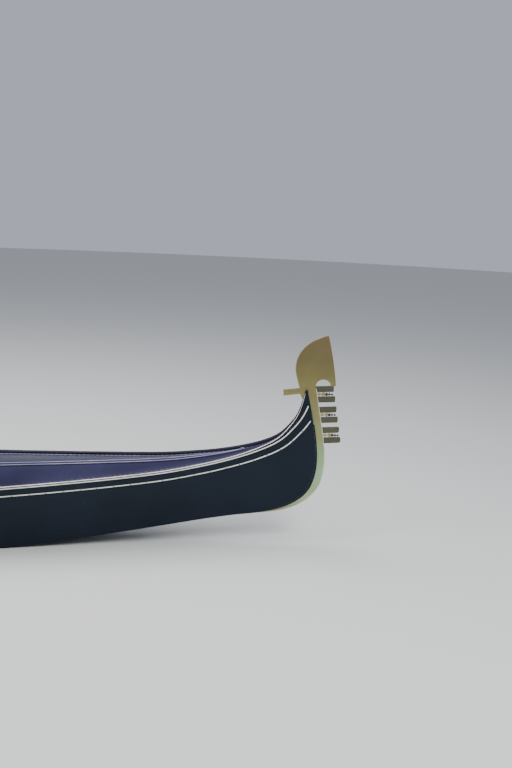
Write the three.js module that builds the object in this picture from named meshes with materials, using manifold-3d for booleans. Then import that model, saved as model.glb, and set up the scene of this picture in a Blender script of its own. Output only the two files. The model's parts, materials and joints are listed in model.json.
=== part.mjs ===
// A flat-bottomed rowing gondola, built of separate timbers, irons, doors and seats.
// Millimetres. +X is forward, +Y is port, +Z is up. The origin is on the centreline of the
// stems, at the lowest flat of the bottom amidships.
import * as THREE from 'three';
import { mergeVertices } from 'three/addons/utils/BufferGeometryUtils.js';
import Module from 'manifold-3d';

const wasm = await Module();
wasm.setup();

// Driving dimensions of the hull
const STEM_X = 5190;          // the sides meet here
const BEAM_STARBOARD = 590;   // half-beams at the sheer amidships: the port side is the wider one
const BEAM_PORT = 830;
const CHINE_STARBOARD = 400;  // half-beams at the bottom amidships
const CHINE_PORT = 480;
const CHINE_END = 4750;       // the bottom narrows to the stems here
const STEM_HALF = 26;         // half thickness of the hull where the sides meet
const SKIN = 12;              // side planks
const BOTTOM = 18;            // bottom planks
const BULGE = 18;             // how far the side swells out between chine and sheer
const GAP = 0.3;              // joint between two touching timbers
const FIT = 1.1;              // joint between a timber and the curved planking

// Driving dimensions of the decks and rails
const RAIL = { width: 34, height: 50 };
const DECK = { drop: 16, thick: 14, crown: 134, clear: 1.8 };
const RIDGE = { half: 30, least: 3, taper: 420, height: 8, bowEnd: 4740, sternEnd: -4700 };
const FOREDECK = { start: 2750, end: 4960 };
const AFTDECK = { start: -4940, end: -1950 };

// Driving dimensions of the inside
const FRAME = { side: 32, floor: 40, width: 30, pitch: 420, first: -1740, count: 11 };
const KEELSON = { half: 40, height: 25, from: -1800, to: 2620 };
const STRINGER = { low: 0.74, high: 0.8, thick: 18, bite: 4, from: -1780, to: 2590 };
const FLOORBOARD = { thick: 14, edge: 5 };
const WALL = 16;              // bulkheads
const DOOR = { thick: 14, gap: 5, knuckle: 6, barrel: 40 };
const SEAT = { y: 70, half: 375, front: -330, back: -920, height: 330, arm: 38, armTop: 560 };
const BENCH = { from: 200, to: 860, width: 250, height: 300, off: 50 };

// Hull lines, one row a station from the stern to the bow:
// sheer x, sheer z, lower edge x, lower edge z (the chine, then up the stem)
const STATIONS = [
  [-5272, 1420, -5280, 1424],
  [-5262, 1390, -5318, 1250],
  [-5245, 1350, -5325, 1050],
  [-5205, 1282, -5290, 860],
  [-5120, 1202, -5205, 690],
  [-4990, 1120, -5060, 560],
  [-4800, 1030, -4850, 470],
  [-4550, 945, -4560, 400],
  [-4150, 845, -4150, 322],
  [-3450, 735, -3450, 212],
  [-2500, 645, -2500, 111],
  [-1500, 598, -1500, 40],
  [-550, 577, -550, 0],
  [550, 577, 550, 0],
  [1500, 592, 1500, 40],
  [2450, 625, 2450, 107],
  [3300, 672, 3300, 194],
  [4053, 731, 4053, 293],
  [4412, 782, 4405, 344],
  [4650, 833, 4650, 375],
  [4840, 894, 4880, 405],
  [4975, 963, 5050, 453],
  [5062, 1054, 5170, 531],
  [5110, 1130, 5232, 635],
  [5136, 1205, 5254, 790],
  [5149, 1262, 5229, 1010],
  [5156, 1305, 5162, 1308],
];
const LAST = STATIONS.length - 1;
const [SHEER_X, SHEER_Z, LOWER_X, LOWER_Z] = [0, 1, 2, 3];

// A Catmull-Rom curve through one column of the stations; the flat of the bottom stays flat
function station(s, column) {
  const i = Math.min(LAST - 1, Math.max(0, Math.floor(s)));
  const t = s - i;
  const at = (k) => STATIONS[Math.min(LAST, Math.max(0, k))][column];
  const [a, b, c, d] = [at(i - 1), at(i), at(i + 1), at(i + 2)];
  if (column === LOWER_Z && b === c) return b;
  return b + 0.5 * t * (c - a + t * (2 * a - 5 * b + 4 * c - d + t * (3 * (b - c) + d - a)));
}

const fullness = (x) => Math.max(0, 1 - (x / STEM_X) ** 2);
const sheerHalf = (side, x) =>
  Math.hypot((side < 0 ? BEAM_STARBOARD : BEAM_PORT) * fullness(x), STEM_HALF);
const chineFullness = (x) => Math.max(0, 1 - (Math.abs(x) / CHINE_END) ** 1.8);
const chineHalf = (side, x) =>
  Math.hypot((side < 0 ? CHINE_STARBOARD : CHINE_PORT) * chineFullness(x), STEM_HALF);

// A point of the outer skin: side is -1 starboard or +1 port, v runs from the lower edge 0 to the sheer 1
function skin(side, s, v, inset = 0) {
  const [xt, zt] = [station(s, SHEER_X), station(s, SHEER_Z)];
  const [xb, zb] = [station(s, LOWER_X), station(s, LOWER_Z)];
  const x = xb + (xt - xb) * v;
  const swell = BULGE * Math.sin(Math.PI * v) * fullness(x);
  const half = chineHalf(side, xb) * (1 - v) + sheerHalf(side, xt) * v + swell;
  return new THREE.Vector3(x, side * (half - inset), zb + (zt - zb) * v);
}

// The same point on the flat facets of the planking, which bend only at these heights
const HEIGHTS = [0, 0.25, 0.5, 0.75, 1];
function facet(side, s, v, inset) {
  const k = Math.min(HEIGHTS.length - 2, Math.floor(v * (HEIGHTS.length - 1)));
  const share = (v - HEIGHTS[k]) / (HEIGHTS[k + 1] - HEIGHTS[k]);
  return skin(side, s, HEIGHTS[k], inset).lerp(skin(side, s, HEIGHTS[k + 1], inset), share);
}

// The station number at which a column reaches x
function stationAt(x, column = SHEER_X) {
  let [low, high] = [0, LAST];
  for (let k = 0; k < 40; k += 1) {
    const middle = (low + high) / 2;
    if (station(middle, column) < x) low = middle;
    else high = middle;
  }
  return (low + high) / 2;
}

const sheerZ = (x) => station(stationAt(x), SHEER_Z);
const bottomZ = (x) => station(stationAt(x, LOWER_X), LOWER_Z);

// Half-breadth of the inside face of a side at a place in the wells
function insideHalf(side, x, z) {
  const s = stationAt(x);
  const v = Math.min(1, Math.max(0, (z - bottomZ(x)) / (sheerZ(x) - bottomZ(x))));
  return Math.abs(facet(side, s, v, SKIN).y);
}

const ROWS = 4;               // facets of the planking between two stations
// Stations between two station numbers, with every table row kept
function stationsBetween(from, to, perRow) {
  const list = [from];
  for (let k = Math.floor(from * perRow) + 1; k < to * perRow; k += 1) list.push(k / perRow);
  list.push(to);
  return list;
}

// Places between two x with a largest step
function steps(from, to, step) {
  const count = Math.ceil(Math.abs(to - from) / step);
  return Array.from({ length: count + 1 }, (_, k) => from + ((to - from) * k) / count);
}

// A closed solid between two grids of points of the same size
function between(outer, inner) {
  const rows = outer.length;
  const columns = outer[0].length;
  const positions = [];
  for (const grid of [outer, inner]) {
    for (const row of grid) for (const p of row) positions.push(p.x, p.y, p.z);
  }
  const index = [];
  const out = (r, c) => r * columns + c;
  const inn = (r, c) => rows * columns + r * columns + c;
  const quad = (a, b, c, d) => index.push(a, b, c, a, c, d);
  for (let r = 0; r < rows - 1; r += 1) {
    for (let c = 0; c < columns - 1; c += 1) {
      quad(out(r, c), out(r + 1, c), out(r + 1, c + 1), out(r, c + 1));
      quad(inn(r, c), inn(r, c + 1), inn(r + 1, c + 1), inn(r + 1, c));
    }
    quad(out(r, 0), inn(r, 0), inn(r + 1, 0), out(r + 1, 0));
    const e = columns - 1;
    quad(out(r, e), out(r + 1, e), inn(r + 1, e), inn(r, e));
  }
  for (let c = 0; c < columns - 1; c += 1) {
    quad(out(0, c), out(0, c + 1), inn(0, c + 1), inn(0, c));
    const r = rows - 1;
    quad(out(r, c), inn(r, c), inn(r, c + 1), out(r, c + 1));
  }
  const geometry = new THREE.BufferGeometry();
  geometry.setAttribute('position', new THREE.Float32BufferAttribute(positions, 3));
  geometry.setIndex(index);
  if (signedVolume(geometry) < 0) {
    for (let k = 0; k < index.length; k += 3) [index[k], index[k + 1]] = [index[k + 1], index[k]];
    geometry.setIndex(index);
  }
  return geometry;
}

function signedVolume(geometry) {
  const p = geometry.getAttribute('position');
  const index = geometry.getIndex();
  const [a, b, c] = [new THREE.Vector3(), new THREE.Vector3(), new THREE.Vector3()];
  let volume = 0;
  for (let k = 0; k < index.count; k += 3) {
    a.fromBufferAttribute(p, index.getX(k));
    b.fromBufferAttribute(p, index.getX(k + 1));
    c.fromBufferAttribute(p, index.getX(k + 2));
    volume += a.dot(b.cross(c)) / 6;
  }
  return volume;
}

const point = (x, y, z) => new THREE.Vector3(x, y, z);

function box([x0, x1], [y0, y1], [z0, z1]) {
  const geometry = new THREE.BoxGeometry(x1 - x0, y1 - y0, z1 - z0);
  return geometry.translate((x0 + x1) / 2, (y0 + y1) / 2, (z0 + z1) / 2);
}

// A flat plate standing fore and aft: the shape is drawn in x and z
function uprightPlate(shape, thick, y = 0, curveSegments = 8) {
  const geometry = new THREE.ExtrudeGeometry(shape, { depth: thick, bevelEnabled: false, curveSegments });
  return geometry.rotateX(Math.PI / 2).translate(0, y + thick / 2, 0);
}

// A flat plate standing across the boat: the shape is drawn in y and z
function crossPlate(shape, thick, x, curveSegments = 8) {
  const geometry = new THREE.ExtrudeGeometry(shape, { depth: thick, bevelEnabled: false, curveSegments });
  return geometry.rotateX(Math.PI / 2).rotateZ(Math.PI / 2).translate(x - thick / 2, 0, 0);
}

const outline = (points) => new THREE.Shape(points.map(([a, b]) => new THREE.Vector2(a, b)));

// Booleans
function solid(geometry) {
  const bare = geometry.clone();
  bare.deleteAttribute('normal');
  bare.deleteAttribute('uv');
  const merged = mergeVertices(bare, 1e-3);
  const vertProperties = new Float32Array(merged.getAttribute('position').array);
  const triVerts = new Uint32Array(merged.getIndex().array);
  return new wasm.Manifold(new wasm.Mesh({ numProp: 3, vertProperties, triVerts }));
}

function geometryOf(manifold) {
  const mesh = manifold.getMesh();
  const geometry = new THREE.BufferGeometry();
  geometry.setAttribute('position', new THREE.Float32BufferAttribute(mesh.vertProperties, 3));
  geometry.setIndex(Array.from(mesh.triVerts));
  return geometry;
}

const join = (...parts) => geometryOf(parts.map(solid).reduce((a, b) => a.add(b)));
const cut = (part, ...tools) => geometryOf(tools.map(solid).reduce((a, b) => a.subtract(b), solid(part)));

// Materials
const paint = (color, roughness, metalness = 0) =>
  new THREE.MeshStandardMaterial({ color, roughness, metalness });
const MATERIAL = {
  lacquer: paint(0x11151f, 0.15),
  deck: paint(0x171938, 0.12),
  varnish: paint(0x6a3d1e, 0.4),
  boards: paint(0x2c2a33, 0.5),
  iron: paint(0x9aa38c, 0.35, 0.8),
  brass: paint(0xc79a45, 0.3, 1),
  velvet: paint(0x6d1019, 0.9),
  walnut: paint(0x7a4a26, 0.5),
};

const group = new THREE.Group();
function add(name, geometry, material) {
  const mesh = new THREE.Mesh(geometry, material);
  mesh.name = name;
  group.add(mesh);
}

const SIDES = [
  { name: 'starboard', sign: -1 },
  { name: 'port', sign: 1 },
];

// The sides and the rails are built in three lengths, butted at these station numbers
const LENGTHS = [
  { name: 'aft', from: 0, to: 10.5 },
  { name: 'mid', from: 10.5, to: 15.25 },
  { name: 'fore', from: 15.25, to: LAST },
];
const BUTT = 0.0003;          // half of the joint between two lengths, in stations
const butted = ({ from, to }, start, end) =>
  stationsBetween(Math.max(from + BUTT, start), Math.min(to - BUTT, end), ROWS);

// Side planking: a thin curved shell from the chine to the sheer
function sidePlanking(side, part) {
  const rows = butted(part, 0, LAST);
  const face = (inset) => rows.map((s) => HEIGHTS.map((v) => skin(side, s, v, inset)));
  return between(face(0), face(SKIN));
}

// Bottom planking: fills in between the lower edges of the sides
const BOTTOM_END = { stern: -4500, bow: 4540 };
function bottomPlanking() {
  const from = stationAt(BOTTOM_END.stern, LOWER_X);
  const to = stationAt(BOTTOM_END.bow, LOWER_X);
  const rows = stationsBetween(from, to, ROWS);
  const face = (lift) => rows.map((s) => SIDES.map(({ sign }) => {
    const edge = skin(sign, s, 0, SKIN + 2 * GAP);
    return point(edge.x, edge.y, edge.z + lift);
  }));
  return between(face(0), face(BOTTOM));
}

// A place on the lower edge of the hull, moved inboard by depth along the edge's normal
function lowerEdge(s, depth) {
  const step = 0.02;
  const [dx, dz] = [LOWER_X, LOWER_Z].map((c) => station(s + step, c) - station(s - step, c));
  const length = Math.hypot(dx, dz);
  return [station(s, LOWER_X) - (dz / length) * depth, station(s, LOWER_Z) + (dx / length) * depth];
}

// A timber that follows the lower edge of the hull up to its head
const STEM = { depth: 60, share: 0.3, lip: 6, half: STEM_HALF - SKIN - GAP };
function stemTimber(from, to) {
  const rows = stationsBetween(from, to, ROWS);
  const face = (depthAt) => rows.map((s) => {
    const [x, z] = lowerEdge(s, depthAt(s));
    return [point(x, -STEM.half, z), point(x, STEM.half, z)];
  });
  const ruling = (s) => skin(1, s, 0).distanceTo(skin(1, s, 1));
  return between(face(() => -STEM.lip), face((s) => Math.min(STEM.depth, STEM.share * ruling(s))));
}

// Gunwale rail: lies against the inside of the side, its top level with the sheer
const IRON_HALF = 6;
const RAIL_ENDS = { stern: 0.25, bow: LAST - 0.5 };
function railSection(side, s) {
  const top = facet(side, s, 1, SKIN + FIT);
  const length = top.distanceTo(facet(side, s, 0, SKIN + FIT));
  const low = facet(side, s, 1 - Math.min(RAIL.height / length, 0.6), SKIN + FIT);
  const inner = Math.max(Math.abs(top.y) - RAIL.width, IRON_HALF + GAP);
  return { top, low, inner };
}
function gunwale(side, part) {
  const rows = butted(part, RAIL_ENDS.stern, RAIL_ENDS.bow).map((s) => railSection(side, s));
  const outer = rows.map((r) => [r.low, r.top]);
  const inner = rows.map((r) => [r.low, r.top].map((p) => point(p.x, side * r.inner, p.z)));
  return between(outer, inner);
}

// Decks: crowned panels between the gunwales
const crownAt = (x) => DECK.crown * fullness(x) * (1 - 0.4 * fullness(x));
function deckHalf(side, s) {
  return railSection(side, s).inner - DECK.clear;
}
function deckTop(x, across) {
  return sheerZ(x) - DECK.drop + crownAt(x) * (1 - Math.abs(across) ** 1.7);
}
const ACROSS = [-1, -0.8, -0.6, -0.4, -0.2, 0, 0.2, 0.4, 0.6, 0.8, 1];
function deckPanel({ start, end }) {
  const rows = stationsBetween(stationAt(start), stationAt(end), ROWS);
  const face = (drop) => rows.map((s) => ACROSS.map((a) => {
    const x = station(s, SHEER_X);
    return point(x, a * deckHalf(Math.sign(a) || 1, s), deckTop(x, a) - drop);
  }));
  return between(face(0), face(DECK.thick));
}
function deckRidge(from, to) {
  const rows = stationsBetween(stationAt(from), stationAt(to), ROWS);
  const places = [-1, 0, 1];
  const tip = Math.abs(from) > Math.abs(to) ? from : to;
  const face = (rise) => rows.map((s) => places.map((a) => {
    const x = station(s, SHEER_X);
    const share = Math.min(1, Math.abs(x - tip) / RIDGE.taper);
    const half = RIDGE.least + (RIDGE.half - RIDGE.least) * share;
    return point(x, a * half, deckTop(x, 0) + 2 * GAP + rise * (1 - 0.25 * a * a));
  }));
  return between(face(RIDGE.height), face(0));
}

// Bow iron: a flat plate with a rounded blade, six forward prongs and one aft
const BLADE = { tip: [5295, 1694], foot: [5366, 1340], front: [5343, 1520] };
// Curves down the back of the blade: two control points and an end each
const BACK = [
  [[5143, 1668], [5075, 1559], [5074, 1470]],
  [[5074, 1435], [5078, 1405], [5110, 1317]],
];
const AFT_PRONG = [[4995, 1302], [4998, 1261], [5113, 1276]];
const HEEL = [[5120, 1265], [5138, 1230]];
const PRONG = { count: 6, rootX: 5221, tipX: 5352, z: 1333, rise: 7, pitch: 74.2, high: 43 };
const PRONG_STEP = { root: 14.5, tip: 13.8 };
const LUNETTE = { x: 5276, z: 1336, radiusX: 53, radiusZ: 47 };
const STRIP = { from: 19.45, grow: 3.7, wide: 61, least: 9, inside: STEM.lip + GAP, top: 25.2 };
function ironStrip(s) {
  const share = Math.min(1, (s - STRIP.from + 0.2) / STRIP.grow);
  return Math.max(STRIP.least, STRIP.wide * share);
}
function bowIron() {
  const shape = new THREE.Shape();
  shape.moveTo(...BLADE.foot);
  shape.quadraticCurveTo(...BLADE.front, ...BLADE.tip);
  for (const curve of BACK) shape.bezierCurveTo(...curve.flat());
  for (const corner of [...AFT_PRONG, ...HEEL]) shape.lineTo(...corner);
  const rows = stationsBetween(STRIP.from, STRIP.top, ROWS);
  for (const s of [...rows].reverse()) shape.lineTo(...lowerEdge(s, -STRIP.inside));
  const prongsFrom = PRONG.z - PRONG.pitch * (PRONG.count - 1) - PRONG.high;
  for (const s of rows) {
    const [x, z] = lowerEdge(s, -ironStrip(s));
    if (z < prongsFrom - 20) shape.lineTo(x, z);
  }
  for (let k = PRONG.count - 1; k >= 0; k -= 1) {
    const root = PRONG.rootX + PRONG_STEP.root * k;
    const tip = PRONG.tipX + PRONG_STEP.tip * k;
    const z = PRONG.z - PRONG.pitch * k;
    shape.lineTo(root + 4, z - PRONG.high);
    shape.lineTo(tip, z - PRONG.high + PRONG.rise);
    shape.lineTo(tip, z + PRONG.rise);
    if (k > 0) shape.lineTo(root, z);
  }
  const hole = new THREE.Path();
  hole.absellipse(LUNETTE.x, LUNETTE.z, LUNETTE.radiusX, LUNETTE.radiusZ, 0, Math.PI);
  hole.closePath();
  shape.holes.push(hole);
  return uprightPlate(shape, 2 * IRON_HALF);
}

// Stern iron: a narrow strip up the stern post that curls into a leaf above the stern
const LEAF = { tip: [-5420, 1530], outer: [-5345, 1440], inner: [-5330, 1500], heel: [-5287, 1436] };
const STERN_STRIP = { from: 0.35, to: 3.4, wide: 34 };
function sternIron() {
  const shape = new THREE.Shape();
  const rows = stationsBetween(STERN_STRIP.from, STERN_STRIP.to, ROWS);
  shape.moveTo(...lowerEdge(STERN_STRIP.to, -STRIP.inside));
  for (const s of [...rows].reverse()) shape.lineTo(...lowerEdge(s, -STRIP.inside));
  shape.lineTo(...LEAF.heel);
  shape.quadraticCurveTo(...LEAF.inner, ...LEAF.tip);
  shape.quadraticCurveTo(...LEAF.outer, ...lowerEdge(STERN_STRIP.from, -STERN_STRIP.wide));
  for (const s of rows) {
    const taper = Math.min(1, (STERN_STRIP.to - s) / 2 + 0.35);
    shape.lineTo(...lowerEdge(s, -STERN_STRIP.wide * taper));
  }
  return uprightPlate(shape, 2 * IRON_HALF);
}

// Frames of the open wells: floor timbers on a keelson, and ribs joined by a stringer
const floorTop = (x) => bottomZ(x) + BOTTOM + 2 * GAP;
const framePlaces = Array.from({ length: FRAME.count }, (_, k) => FRAME.first + k * FRAME.pitch);
function floorFrames() {
  const strip = (lift) => stationsBetween(stationAt(KEELSON.from), stationAt(KEELSON.to), ROWS)
    .map((s) => [-1, 1].map((a) => {
      const x = station(s, SHEER_X);
      return point(x, a * KEELSON.half, floorTop(x) + lift);
    }));
  const timbers = framePlaces.map((middle) => {
    const face = (lift) => [middle - FRAME.width / 2, middle + FRAME.width / 2].map((x) =>
      SIDES.map(({ sign }) => {
        const far = middle + (Math.sign(middle) * FRAME.width) / 2;
        const half = insideHalf(sign, far, floorTop(x)) - 2 * FIT - FRAME.side - FRAME.width / 8;
        return point(x, sign * half, floorTop(x) + lift);
      }));
    return between(face(FRAME.floor), face(0));
  });
  return join(between(strip(KEELSON.height), strip(0)), ...timbers);
}
function sideFrames(sign) {
  const ribs = framePlaces.map((middle) => {
    const face = (inset) => [middle - FRAME.width / 2, middle + FRAME.width / 2].map((x) => {
      const s = stationAt(x);
      const height = sheerZ(x) - bottomZ(x);
      const low = (floorTop(x) + 1 - bottomZ(x)) / height;
      const high = 1 - (RAIL.height + 12) / height;
      return [low, 0.25, 0.5, 0.75, high].map((v) => facet(sign, s, v, SKIN + FIT + inset));
    });
    return between(face(0), face(FRAME.side));
  });
  const rows = stationsBetween(stationAt(STRINGER.from), stationAt(STRINGER.to), ROWS);
  const inset = SKIN + FIT + FRAME.side - STRINGER.bite;
  const face = (more) => rows.map((s) =>
    [STRINGER.low, STRINGER.high].map((v) => facet(sign, s, v, inset + more)));
  return join(between(face(0), face(STRINGER.thick)), ...ribs);
}

// Floorboards lie on the floor timbers
const boardsZ = (x) => floorTop(x) + FRAME.floor + GAP;
function floorboards(from, to) {
  const rows = stationsBetween(stationAt(from), stationAt(to), ROWS).map((s) => station(s, SHEER_X));
  const face = (lift) => rows.map((x) => SIDES.map(({ sign }) => {
    const half = insideHalf(sign, x, boardsZ(x)) - FIT - FRAME.side - FLOORBOARD.edge;
    return point(x, sign * half, boardsZ(x) + GAP + lift);
  }));
  return between(face(FLOORBOARD.thick), face(0));
}

// Bulkheads: plates across the hull, cut to the planking, the rails and the deck above
function wallOutline(x, top) {
  const far = x + (Math.sign(x) * WALL) / 2;
  const s = stationAt(far);
  const height = sheerZ(far) - bottomZ(far);
  const low = (floorTop(far) + 1 - bottomZ(far)) / height;
  const high = 1 - (RAIL.height + 12) / height;
  const edge = (sign) => {
    const points = [low, 0.25, 0.5, 0.75, high].map((v) => facet(sign, s, v, SKIN + 2 * FIT));
    return points.map((p) => [p.y, p.z]);
  };
  return [...edge(1), ...top(far), ...edge(-1).reverse()];
}
function deckWall(x) {
  const under = (far) => [...ACROSS].reverse().map((a) => {
    const sign = Math.sign(a) || 1;
    const half = railSection(sign, stationAt(far)).inner - 2 * FIT;
    const near = x - (Math.sign(x) * WALL) / 2;
    const underRail = Math.min(sheerZ(far), sheerZ(near)) - RAIL.height - 2;
    const underDeck = Math.min(deckTop(far, a), deckTop(near, a)) - DECK.thick - 1;
    return [a * half, Math.abs(a) < 1 ? underDeck : Math.min(underDeck, underRail)];
  });
  return crossPlate(outline(wallOutline(x, under)), WALL, x);
}

// Locker doors: a hinged panel in a cut bulkhead. facing is the direction the door opens to
const BOW_DOOR = { x: 2758, facing: -1, y: [-150, 270], z: [230, 520] };
const STERN_DOOR = { x: -1958, facing: 1, y: [-130, 250], z: [180, 480] };
function hinge({ x, facing, y, z }) {
  const face = x + (facing * WALL) / 2;
  const pin = [face + facing * (DOOR.knuckle + 1), y[0] + DOOR.gap / 2];
  const third = (z[1] - z[0]) / 4;
  const barrel = (middle, half) => new THREE.CylinderGeometry(DOOR.knuckle, DOOR.knuckle, 2 * half, 12)
    .rotateX(Math.PI / 2).translate(pin[0], pin[1], middle);
  const leaf = (middle, half, reach) => {
    const xs = [face + facing * 4, face - facing * 1].sort((a, b) => a - b);
    return box(xs, [pin[1], pin[1] + reach].sort((a, b) => a - b), [middle - half, middle + half]);
  };
  return { face, pin, third, barrel, leaf };
}
function lockerWall(door) {
  const { third, barrel, leaf } = hinge(door);
  const middle = door.z[0] + third;
  const upper = door.z[1] - third;
  const half = DOOR.barrel / 4;
  const hole = box([door.x - WALL, door.x + WALL], door.y, door.z);
  const opened = cut(deckWall(door.x), hole);
  const fixed = [middle, upper].map((z) => join(barrel(z, half), leaf(z, half, -24)));
  return join(opened, ...fixed);
}
function lockerDoor(door) {
  const { face, third, barrel, leaf } = hinge(door);
  const xs = [face, face - door.facing * DOOR.thick].sort((a, b) => a - b);
  const inner = ([a, b]) => [a + DOOR.gap, b - DOOR.gap];
  const panel = box(xs, inner(door.y), inner(door.z));
  const half = DOOR.barrel / 4;
  const knuckles = [door.z[0] + third, door.z[1] - third]
    .flatMap((z) => [z - 2 * half - GAP, z + 2 * half + GAP])
    .map((z) => join(barrel(z, half), leaf(z, half, 34)));
  return join(panel, ...knuckles);
}

// Seats
const between2 = (a, b) => [Math.min(a, b), Math.max(a, b)];
const SEAT_BACK = { x: -890, thick: 46, top: 960, shoulder: 120 };
function seatBack() {
  const [y0, y1] = [SEAT.y - SEAT.half, SEAT.y + SEAT.half];
  const shoulder = SEAT_BACK.top - SEAT_BACK.shoulder;
  const shape = new THREE.Shape();
  shape.moveTo(y0, SEAT.height + GAP);
  shape.lineTo(y1, SEAT.height + GAP);
  shape.lineTo(y1, shoulder);
  shape.bezierCurveTo(y1 - 60, shoulder + 20, SEAT.y + 160, SEAT_BACK.top, SEAT.y, SEAT_BACK.top);
  shape.bezierCurveTo(SEAT.y - 160, SEAT_BACK.top, y0 + 60, shoulder + 20, y0, shoulder);
  return crossPlate(shape, SEAT_BACK.thick, SEAT_BACK.x, 24);
}
// A block with a level top that stands on the floorboards and follows their sheer
function standing([x0, x1], ys, top) {
  const rows = steps(x0, x1, 150);
  const face = (z) => rows.map((x) => ys.map((y) => point(x, y, z(x))));
  return between(face(() => top), face((x) => boardsZ(x) + FLOORBOARD.thick + 4 * GAP));
}
const seatBox = (y0, y1, z0, z1, from, to) => box([from, to], [SEAT.y + y0, SEAT.y + y1], [z0, z1]);
function armrest(sign) {
  const ys = between2(sign * (SEAT.half - SEAT.arm), sign * SEAT.half);
  const from = SEAT_BACK.x + SEAT_BACK.thick / 2 + GAP;
  return seatBox(...ys, SEAT.height + GAP, SEAT.armTop, from, SEAT.front);
}

function bench(sign) {
  const outer = insideHalf(sign, BENCH.to, boardsZ(BENCH.to)) - BENCH.off;
  return { xs: [BENCH.from, BENCH.to], ys: between2(sign * outer, sign * (outer - BENCH.width)) };
}

// Oar crutch: a carved bracket that stands in a socket block on the starboard rail
const CRUTCH = { x: -1600, thick: 42, footX: 33, footZ: 92, pocket: 1 };
const CRUTCH_OUTLINE = [
  [46, 0], [50, 30], [53, 66], [42, 106], [40, 138], [58, 150], [62, 166], [46, 182], [44, 208], [56, 238],
  [76, 258], [91, 276], [92, 298], [64, 299], [36, 292], [16, 300], [6, 324], [14, 348], [42, 368], [38, 398],
  [18, 414], [-14, 420], [-36, 398], [-43, 350], [-37, 300], [-48, 230], [-58, 150], [-50, 70], [-46, 0],
];
const BLOCK = { from: -1690, to: -1500, width: 80, low: 98, sink: 4 };
function blockPlace() {
  const section = railSection(-1, stationAt(BLOCK.from));
  const outer = -(section.inner - 2 * GAP);
  const top = sheerZ(CRUTCH.x) - BLOCK.sink;
  return { ys: [outer, outer + BLOCK.width], top };
}
function socketBlock() {
  const { ys, top } = blockPlace();
  const middle = (ys[0] + ys[1]) / 2;
  const half = CRUTCH.thick / 2 + CRUTCH.pocket;
  const block = box([BLOCK.from, BLOCK.to], ys, [top - BLOCK.low, top]);
  const reach = CRUTCH.footX + CRUTCH.pocket;
  return cut(block, box([CRUTCH.x - reach, CRUTCH.x + reach], [middle - half, middle + half],
    [top - 2 * BLOCK.low, top + BLOCK.low]));
}
function crutch() {
  const { ys, top } = blockPlace();
  const { footX, footZ } = CRUTCH;
  const foot = [[-footX, 0], [-footX, -footZ], [footX, -footZ], [footX, 0]];
  const points = [...CRUTCH_OUTLINE, ...foot].map(([u, w]) => [CRUTCH.x + u, top + GAP + w]);
  return uprightPlate(outline(points), CRUTCH.thick, (ys[0] + ys[1]) / 2);
}

// Brass sea horse on a small plinth, standing on a gunwale
const HORSE = { x: -150, thick: 16, base: [90, 8, 26] };
const HORSE_OUTLINE = [
  [-70, 8], [60, 8], [72, 30], [50, 52], [30, 60], [44, 100], [60, 120], [92, 128], [96, 146],
  [70, 164], [50, 192], [30, 190], [0, 150], [-10, 100], [-30, 70], [-62, 60], [-92, 80],
  [-110, 120], [-120, 90], [-104, 40],
];
function seaHorse(sign) {
  const section = railSection(sign, stationAt(HORSE.x));
  const y = (sign * (Math.abs(section.top.y) + section.inner)) / 2;
  const z = section.top.z + GAP;
  const base = box([HORSE.x - HORSE.base[0], HORSE.x + HORSE.base[0]],
    [y - HORSE.base[2] / 2, y + HORSE.base[2] / 2], [z, z + HORSE.base[1]]);
  const body = outline(HORSE_OUTLINE.map(([u, w]) => [HORSE.x + u, z + w - 1]));
  return join(base, uprightPlate(body, HORSE.thick, y));
}

// Wedge for the rower's rear foot, shaped to the crown of the stern deck
const WEDGE = { from: -2700, to: -2480, across: [0.25, 0.75], low: 20, high: 70 };
function footWedge() {
  const rows = [WEDGE.from, WEDGE.to];
  const places = [0, 0.5, 1].map((t) => WEDGE.across[0] + (WEDGE.across[1] - WEDGE.across[0]) * t);
  const face = (lifts) => rows.map((x, k) => places.map((a) =>
    point(x, a * deckHalf(1, stationAt(x)), deckTop(x, a) + 2 + lifts[k])));
  return between(face([WEDGE.high, WEDGE.low]), face([0, 0]));
}

// Thwart: a plank across the boat that rests on both stringers
function thwart(middle, wide, thick) {
  const rows = [middle - wide / 2, middle + wide / 2];
  const level = (x) => bottomZ(x) + (sheerZ(x) - bottomZ(x)) * STRINGER.high + 2;
  const z = Math.max(...rows.map(level));
  const face = (lift) => rows.map((x) => SIDES.map(({ sign }) =>
    point(x, sign * (insideHalf(sign, x, z) - 2 * GAP), z + lift)));
  return between(face(thick), face(0));
}

for (const { name, sign } of SIDES) {
  for (const part of LENGTHS) {
    add(`${name}_side_${part.name}`, sidePlanking(sign, part), MATERIAL.lacquer);
    add(`${name}_gunwale_${part.name}`, gunwale(sign, part), MATERIAL.lacquer);
  }
  add(`${name}_frames`, sideFrames(sign), MATERIAL.varnish);
  add(`${name}_sea_horse`, seaHorse(sign), MATERIAL.brass);
  const { xs, ys } = bench(sign);
  add(`${name}_bench`, standing(xs, ys, BENCH.height), MATERIAL.lacquer);
  add(`${name}_armrest`, armrest(sign), MATERIAL.lacquer);
  add(`${name}_bench_cushion`, box(xs, ys, [BENCH.height + GAP, BENCH.height + 60]), MATERIAL.velvet);
}
add('bottom_planking', bottomPlanking(), MATERIAL.lacquer);
add('bow_stem', stemTimber(stationAt(BOTTOM_END.bow + 15, LOWER_X), STRIP.top - 0.05), MATERIAL.lacquer);
add('stern_post', stemTimber(0.6, stationAt(BOTTOM_END.stern - 15, LOWER_X)), MATERIAL.lacquer);
add('foredeck', deckPanel(FOREDECK), MATERIAL.deck);
add('foredeck_ridge', deckRidge(FOREDECK.start, RIDGE.bowEnd), MATERIAL.lacquer);
add('aft_deck', deckPanel(AFTDECK), MATERIAL.deck);
add('aft_deck_ridge', deckRidge(RIDGE.sternEnd, AFTDECK.start + 1200), MATERIAL.lacquer);
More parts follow.
